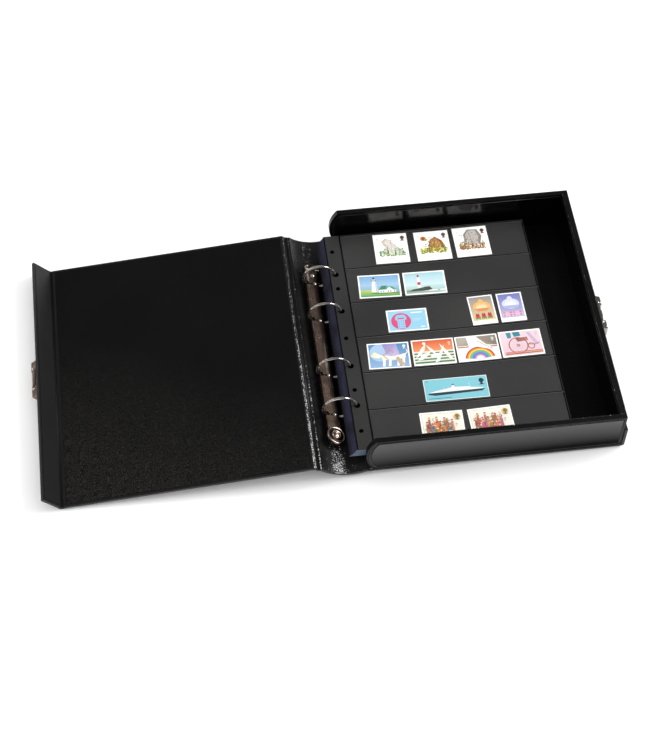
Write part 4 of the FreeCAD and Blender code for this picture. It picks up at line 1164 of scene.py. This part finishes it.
def draw_rainbow(art, w, h):
    """Rainbow below a pale slope and two plain fields."""
    m = BORDER
    art.rect(m, m, w - m, h - m, 0xF3EFE8, 0xF7F3EE)
    art.poly([(m, h * 0.62), (w * 0.30, h * 0.62), (w * 0.27, h - m), (m, h - m)],
             [0xA8A090, 0x9C9484, 0xB9B3A6, 0xB0A898])
    art.poly([(w * 0.50, h - m), (w - m, h - m), (w - m, h * 0.56), (w * 0.72, h * 0.60)],
             [0x9A8F80, 0x8C8272, 0x7E7262, 0xA59A88])
    art.rect(m, h * 0.55, w * 0.30, h * 0.59, 0xB4583C)
    art.rect(w * 0.74, h * 0.50, w - m, h * 0.54, 0xA8543C)
    inks = (0xC8342C, 0xE8893A, 0xF2D24E, 0x7DB85A, 0x5AA8C8, 0x5E7CC0, 0x9A72B8, 0xD9A0C8)
    outer = w * 0.35
    step = outer / 11.0
    for i, ink in enumerate(inks):
        art.band(0.52, 0.06, outer - step * (i + 1), outer - step * i, 8, 172, ink, lift=i == 0)
    art.shape([(0.30, 0.94), (0.48, 0.94), (0.66, 0.66), (0.88, 0.44), (0.84, 0.38), (0.56, 0.52),
               (0.36, 0.60)], 0xFBF8F4)
    art.line([(0.52, 0.78), (0.70, 0.56), (0.86, 0.42)], 0.5, 0x6E5A4C)
    art.cameo(0.88, 0.74, 4.4, 0xCBD4DC)


def draw_wheel(art, w, h):
    """Large wheel outlines on pink with teal and brown blocks."""
    m = BORDER
    art.rect(m, m, w - m, h - m, 0xE8C4CE, 0xEED3DA)
    art.shape([(0.18, 0.94), (0.30, 0.94), (0.29, 0.72), (0.20, 0.72)], 0x2D8F9E)
    art.shape([(0.33, 0.94), (0.50, 0.94), (0.52, 0.78), (0.36, 0.76)], 0x2A8494)
    art.shape([(0.38, 0.70), (0.66, 0.72), (0.68, 0.58), (0.42, 0.56)],
              [0x8A4E44, 0xA86A5C, 0xB98C84, 0x74443C])
    art.shape([(0.66, 0.90), (0.74, 0.90), (0.92, 0.40), (0.82, 0.40)], 0xC7B3CC)
    art.band(0.42, 0.42, h * 0.285, h * 0.315, 0, 360, 0xA8483C, steps=36)
    art.band(0.42, 0.42, h * 0.03, h * 0.05, 0, 360, 0x8C5A58)
    u, v = w * 0.42, h * 0.42
    for i in range(6):
        a = math.radians(15 + 30 * i)
        du, dv = math.cos(a) * h * 0.28, math.sin(a) * h * 0.28
        art.stroke([(u - du, v - dv), (u + du, v + dv)], 0.14, 0xC09AA2, lift=i == 0)
    art.band(0.72, 0.36, h * 0.09, h * 0.115, 0, 360, 0x9C4C44, steps=24)
    art.line([(0.62, 0.44), (0.80, 0.40), (0.93, 0.46)], 0.5, 0x8E463E)
    art.rect(w * 0.08, h * 0.09, w - m, h * 0.12, 0xB4552E)
    art.rect(w * 0.08, h * 0.13, w - m, h * 0.16, 0xE0A070, lift=False)
    art.rect(w * 0.08, h * 0.17, w - m, h * 0.185, 0xA84A30, lift=False)
    art.cameo(0.88, 0.74, 4.4, 0xDCC3CB)


def draw_liner(art, w, h):
    """White liner with a dark hull on turquoise."""
    art.rect(0.6, 0.6, w - 0.6, h - 0.6, 0x7CC4D0, 0x80C6D2)
    art.shape([(0.055, 0.36), (0.055, 0.30), (0.16, 0.24), (0.90, 0.30), (0.955, 0.42), (0.90, 0.40)],
              0x1F3140)
    art.shape([(0.06, 0.37), (0.90, 0.40), (0.955, 0.43), (0.84, 0.47), (0.74, 0.50), (0.70, 0.54),
               (0.46, 0.57), (0.30, 0.50), (0.20, 0.46)], 0xF4F6F4)
    art.layer += 1
    for row in range(2):
        for i in range(22):
            u = w * (0.22 + 0.026 * i)
            art.rect(u, h * (0.43 + 0.05 * row), u + 0.5, h * (0.445 + 0.05 * row), 0xA3B4BE, lift=False)
    art.shape([(0.425, 0.56), (0.475, 0.57), (0.468, 0.66), (0.438, 0.66)], 0xF2F2F0)
    art.shape([(0.432, 0.65), (0.475, 0.66), (0.468, 0.71), (0.442, 0.70)], 0x2C3A46)
    art.line([(0.705, 0.52), (0.71, 0.72)], 0.35, 0xE9F0F0)
    art.line([(0.30, 0.50), (0.305, 0.60)], 0.25, 0xDDE8EA)
    art.captions(0.05, 0.10, (w * 0.36,), 0x2C6478, 0.55)
    art.band(0.06, 0.88, 0.6, 0.95, -20, 250, 0x245468)
    art.cameo(0.905, 0.58, 7.6, 0x15293A)


def draw_festival(art, w, h, inks):
    """Cream stamp with bunched lanterns, streamers and flowers and a gold emblem."""
    art.rect(1.2, 1.2, w - 1.2, h - 1.2, 0xF6F2E4)
    art.stroke([(2.0, 2.0), (2.0, h - 2.2), (w - 2.0, h - 2.2)], 0.16, 0x6E706E)
    for i in range(11):
        u = w * (0.15 + 0.058 * i)
        top = h * (0.58 + 0.16 * math.sin(i * 1.9))
        tint = [inks[(i + k) % len(inks)] for k in (0, 2, 1, 0)]
        art.poly([(u - 1.9, h * 0.10), (u + 1.9, h * 0.12), (u + 1.0, top), (u - 1.0, top)], tint)
        art.disc(u, top + 0.9, 1.1, (0xE8B48C, 0xF0CFA6, 0xD98C6C)[i % 3], sides=10)
        art.disc(u + 0.1, top + 1.9, 1.2, inks[(i + 3) % len(inks)], 0.6, sides=8)
    art.specks((0.10, 0.12, 0.76, 0.66), 150, (0.35, 0.95), inks + [0xFBF6E6])
    art.specks((0.10, 0.50, 0.76, 0.80), 26, (0.25, 0.55), inks)
    art.captions(0.80, 0.50, (1.8, 1.2), 0x4C4A44, 0.45, 1.8)
    art.dot(0.86, 0.78, 3.1, 0xD8C088, sides=16)
    art.cameo(0.86, 0.66, 6.2, 0x8E6A2A)


def draw_festival_green(art, w, h):
    draw_festival(art, w, h, [0x6FB03A, 0xD83A6A, 0x3E9040, 0x5058A8, 0xF2B020, 0xE87040, 0xC22A3A])


def draw_festival_red(art, w, h):
    draw_festival(art, w, h, [0xC42A3A, 0x5A9848, 0xE05A44, 0xD87090, 0xA8407C, 0xE89070, 0x98B068])


ARTWORK = (
    (draw_blossom, draw_mushroom, draw_mound),
    (draw_lighthouse, draw_beacon),
    (draw_emblem, draw_dome_warm, draw_dome_cool),
    (draw_hound, draw_branches, draw_rainbow, draw_wheel),
    (draw_liner,),
    (draw_festival_green, draw_festival_red),
)


def stamp_corners(name):
    """Corners of every stamp of a row, in the closed album's frame, the lower left one first."""
    inverse = case.inverted()
    points = sorted((tuple(inverse @ v.co) for v in nodes[name].data.vertices), key=lambda p: p[0])
    groups = [[points[0]]]
    for point in points[1:]:
        apart = point[0] - max(p[0] for p in groups[-1])
        if apart > STAMP_GAP and len(set_of_corners(groups[-1])) == 4:
            groups.append([])
        groups[-1].append(point)
    return [set_of_corners(group) for group in groups]


def set_of_corners(points):
    """The four outer corners of one stamp: lower left, lower right, upper left, upper right."""
    picks = (min(points, key=lambda p: p[0] + p[1]), max(points, key=lambda p: p[0] - p[1]),
             min(points, key=lambda p: p[0] - p[1]), max(points, key=lambda p: p[0] + p[1]))
    distinct = []
    for pick in picks:
        if all(math.dist(pick[:2], other[:2]) > CORNERS_APART for other in distinct):
            distinct.append(pick)
    return distinct


def print_stamp(name, corners, draw, row_node):
    low_left, low_right, high_left = (Vector((p[0], p[1], 0.0)) for p in corners[:3])
    width = (low_right - low_left).length
    height = (high_left - low_left).length
    art = Print(low_left, (low_right - low_left) / width, (high_left - low_left) / height, width, height)
    outline = perforated_outline(width, height)
    art.poly(outline, PAPER_INK, lift=False)
    art.inks = [rgb(PAPER_INK, 1.0)] * len(outline)
    draw(art, width, height)
    top = list(art.vertices[:len(outline)])
    start = len(art.vertices)
    drop = case.to_3x3() @ Vector((0, 0, -PAPER_THICK))
    art.vertices.extend(v + drop for v in top)
    # Painted shade on the cut sides of the stamp.
    art.inks.extend([rgb(PAPER_EDGE_SHADE)] * len(top))
    count = len(outline)
    for i in range(count):
        j = (i + 1) % count
        art.faces.append((start + i, start + j, j, i))
    obj = add_mesh(name, art.vertices, art.faces, INK)
    ink = obj.data.color_attributes.new("ink", "FLOAT_COLOR", "POINT")
    ink.data.foreach_set("color", [channel for colour in art.inks for channel in colour])
    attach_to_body(obj, "top_page")
    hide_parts(row_node)


for row, drawings in enumerate(ARTWORK, start=1):
    row_node = "stamps_row_%d" % row
    for place, (corners, draw) in enumerate(zip(stamp_corners(row_node), drawings), start=1):
        print_stamp("stamp_%d_%d" % (row, place), corners, draw, row_node)

# ---------------------------------------------------------------- surroundings

FLOOR_HALF = 6.0
AMBIENT = 1.15
REFLECTED = (0.22, 0.16)
LIGHTS = (
    ("main_softbox", (1.8, 0.15, 1.5), (1.2, 1.0), 32.0),
    ("left_strip", (-1.5, 0.4, 1.3), (0.25, 1.2), 2.5),
)


def studio_floor():
    shader = Shader("studio_floor")
    shader.set(Base_Color=(0.93, 0.93, 0.93, 1), Roughness=0.9, Specular_IOR_Level=0.1)
    corners = [(x * FLOOR_HALF, y * FLOOR_HALF, 0) for x, y in ((-1, -1), (1, -1), (1, 1), (-1, 1))]
    add_mesh("studio_floor", corners, [(0, 1, 2, 3)], shader.material)


def studio_world():
    """White to the camera, AMBIENT to the diffuse light, REFLECTED from left to right in reflections."""
    world = bpy.data.worlds.new("studio_world")
    scene.world = world
    world.use_nodes = True
    tree = world.node_tree
    back = tree.nodes["Background"]
    path = tree.nodes.new("ShaderNodeLightPath")
    look = tree.nodes.new("ShaderNodeTexCoord")
    split = tree.nodes.new("ShaderNodeSeparateXYZ")
    tree.links.new(look.outputs["Generated"], split.inputs["Vector"])

    def blend_value(factor, low, high):
        made = tree.nodes.new("ShaderNodeMix")
        tree.links.new(factor, made.inputs["Factor"])
        tree.links.new(low, made.inputs["A"])
        made.inputs["B"].default_value = high
        return made.outputs["Result"]

    rise = tree.nodes.new("ShaderNodeMapRange")
    tree.links.new(split.outputs["X"], rise.inputs["Value"])
    limits = {"From Min": -0.5, "From Max": 0.5, "To Min": REFLECTED[0], "To Max": REFLECTED[1]}
    for key, value in limits.items():
        rise.inputs[key].default_value = value
    level = blend_value(path.outputs["Is Diffuse Ray"], rise.outputs["Result"], AMBIENT)
    level = blend_value(path.outputs["Is Camera Ray"], level, 1.0)
    tree.links.new(level, back.inputs["Strength"])
    back.inputs["Color"].default_value = (1, 1, 1, 1)


def studio_lights():
    """Rectangular lamps that face the middle of the scene."""
    for name, place, size, power in LIGHTS:
        data = bpy.data.lights.new(name, "AREA")
        data.shape = "RECTANGLE"
        data.size, data.size_y = size
        data.energy = power
        lamp = bpy.data.objects.new(name, data)
        lamp.location = place
        lamp.rotation_mode = "QUATERNION"
        lamp.rotation_quaternion = (-Vector(place)).to_track_quat("-Z", "Y")
        scene.collection.objects.link(lamp)


studio_floor()
studio_world()
studio_lights()

# Camera at the viewing angle of the reference, given in the frame of the closed album.
CAMERA_AT = Vector((-403.99, -957.19, 1365.1))
CAMERA_AZIMUTH = -8.305
CAMERA_ELEVATION = 55.416
CAMERA_ROLL = 1.346
CAMERA_LENS = 83.16


def aim_camera():
    azimuth = math.radians(CAMERA_AZIMUTH)
    elevation = math.radians(CAMERA_ELEVATION)
    roll = math.radians(CAMERA_ROLL)
    back = Vector((math.sin(azimuth) * math.cos(elevation), -math.cos(azimuth) * math.cos(elevation),
                   math.sin(elevation)))
    right = Vector((0, 0, 1)).cross(back).normalized()
    up = back.cross(right)
    rolled_right = right * math.cos(roll) + up * math.sin(roll)
    rolled_up = up * math.cos(roll) - right * math.sin(roll)
    basis = Matrix((rolled_right, rolled_up, back)).transposed()
    data = bpy.data.cameras.new("camera")
    data.lens = CAMERA_LENS
    data.sensor_width = 36.0
    data.clip_end = 20.0
    camera = bpy.data.objects.new("camera", data)
    scene.collection.objects.link(camera)
    turned = Matrix.Rotation(math.radians(case_tilt), 3, "Y") @ basis
    camera.matrix_world = Matrix.Translation(case @ CAMERA_AT) @ turned.to_4x4()
    scene.camera = camera


aim_camera()
scene.view_settings.view_transform = "Standard"
scene.view_settings.look = "None"
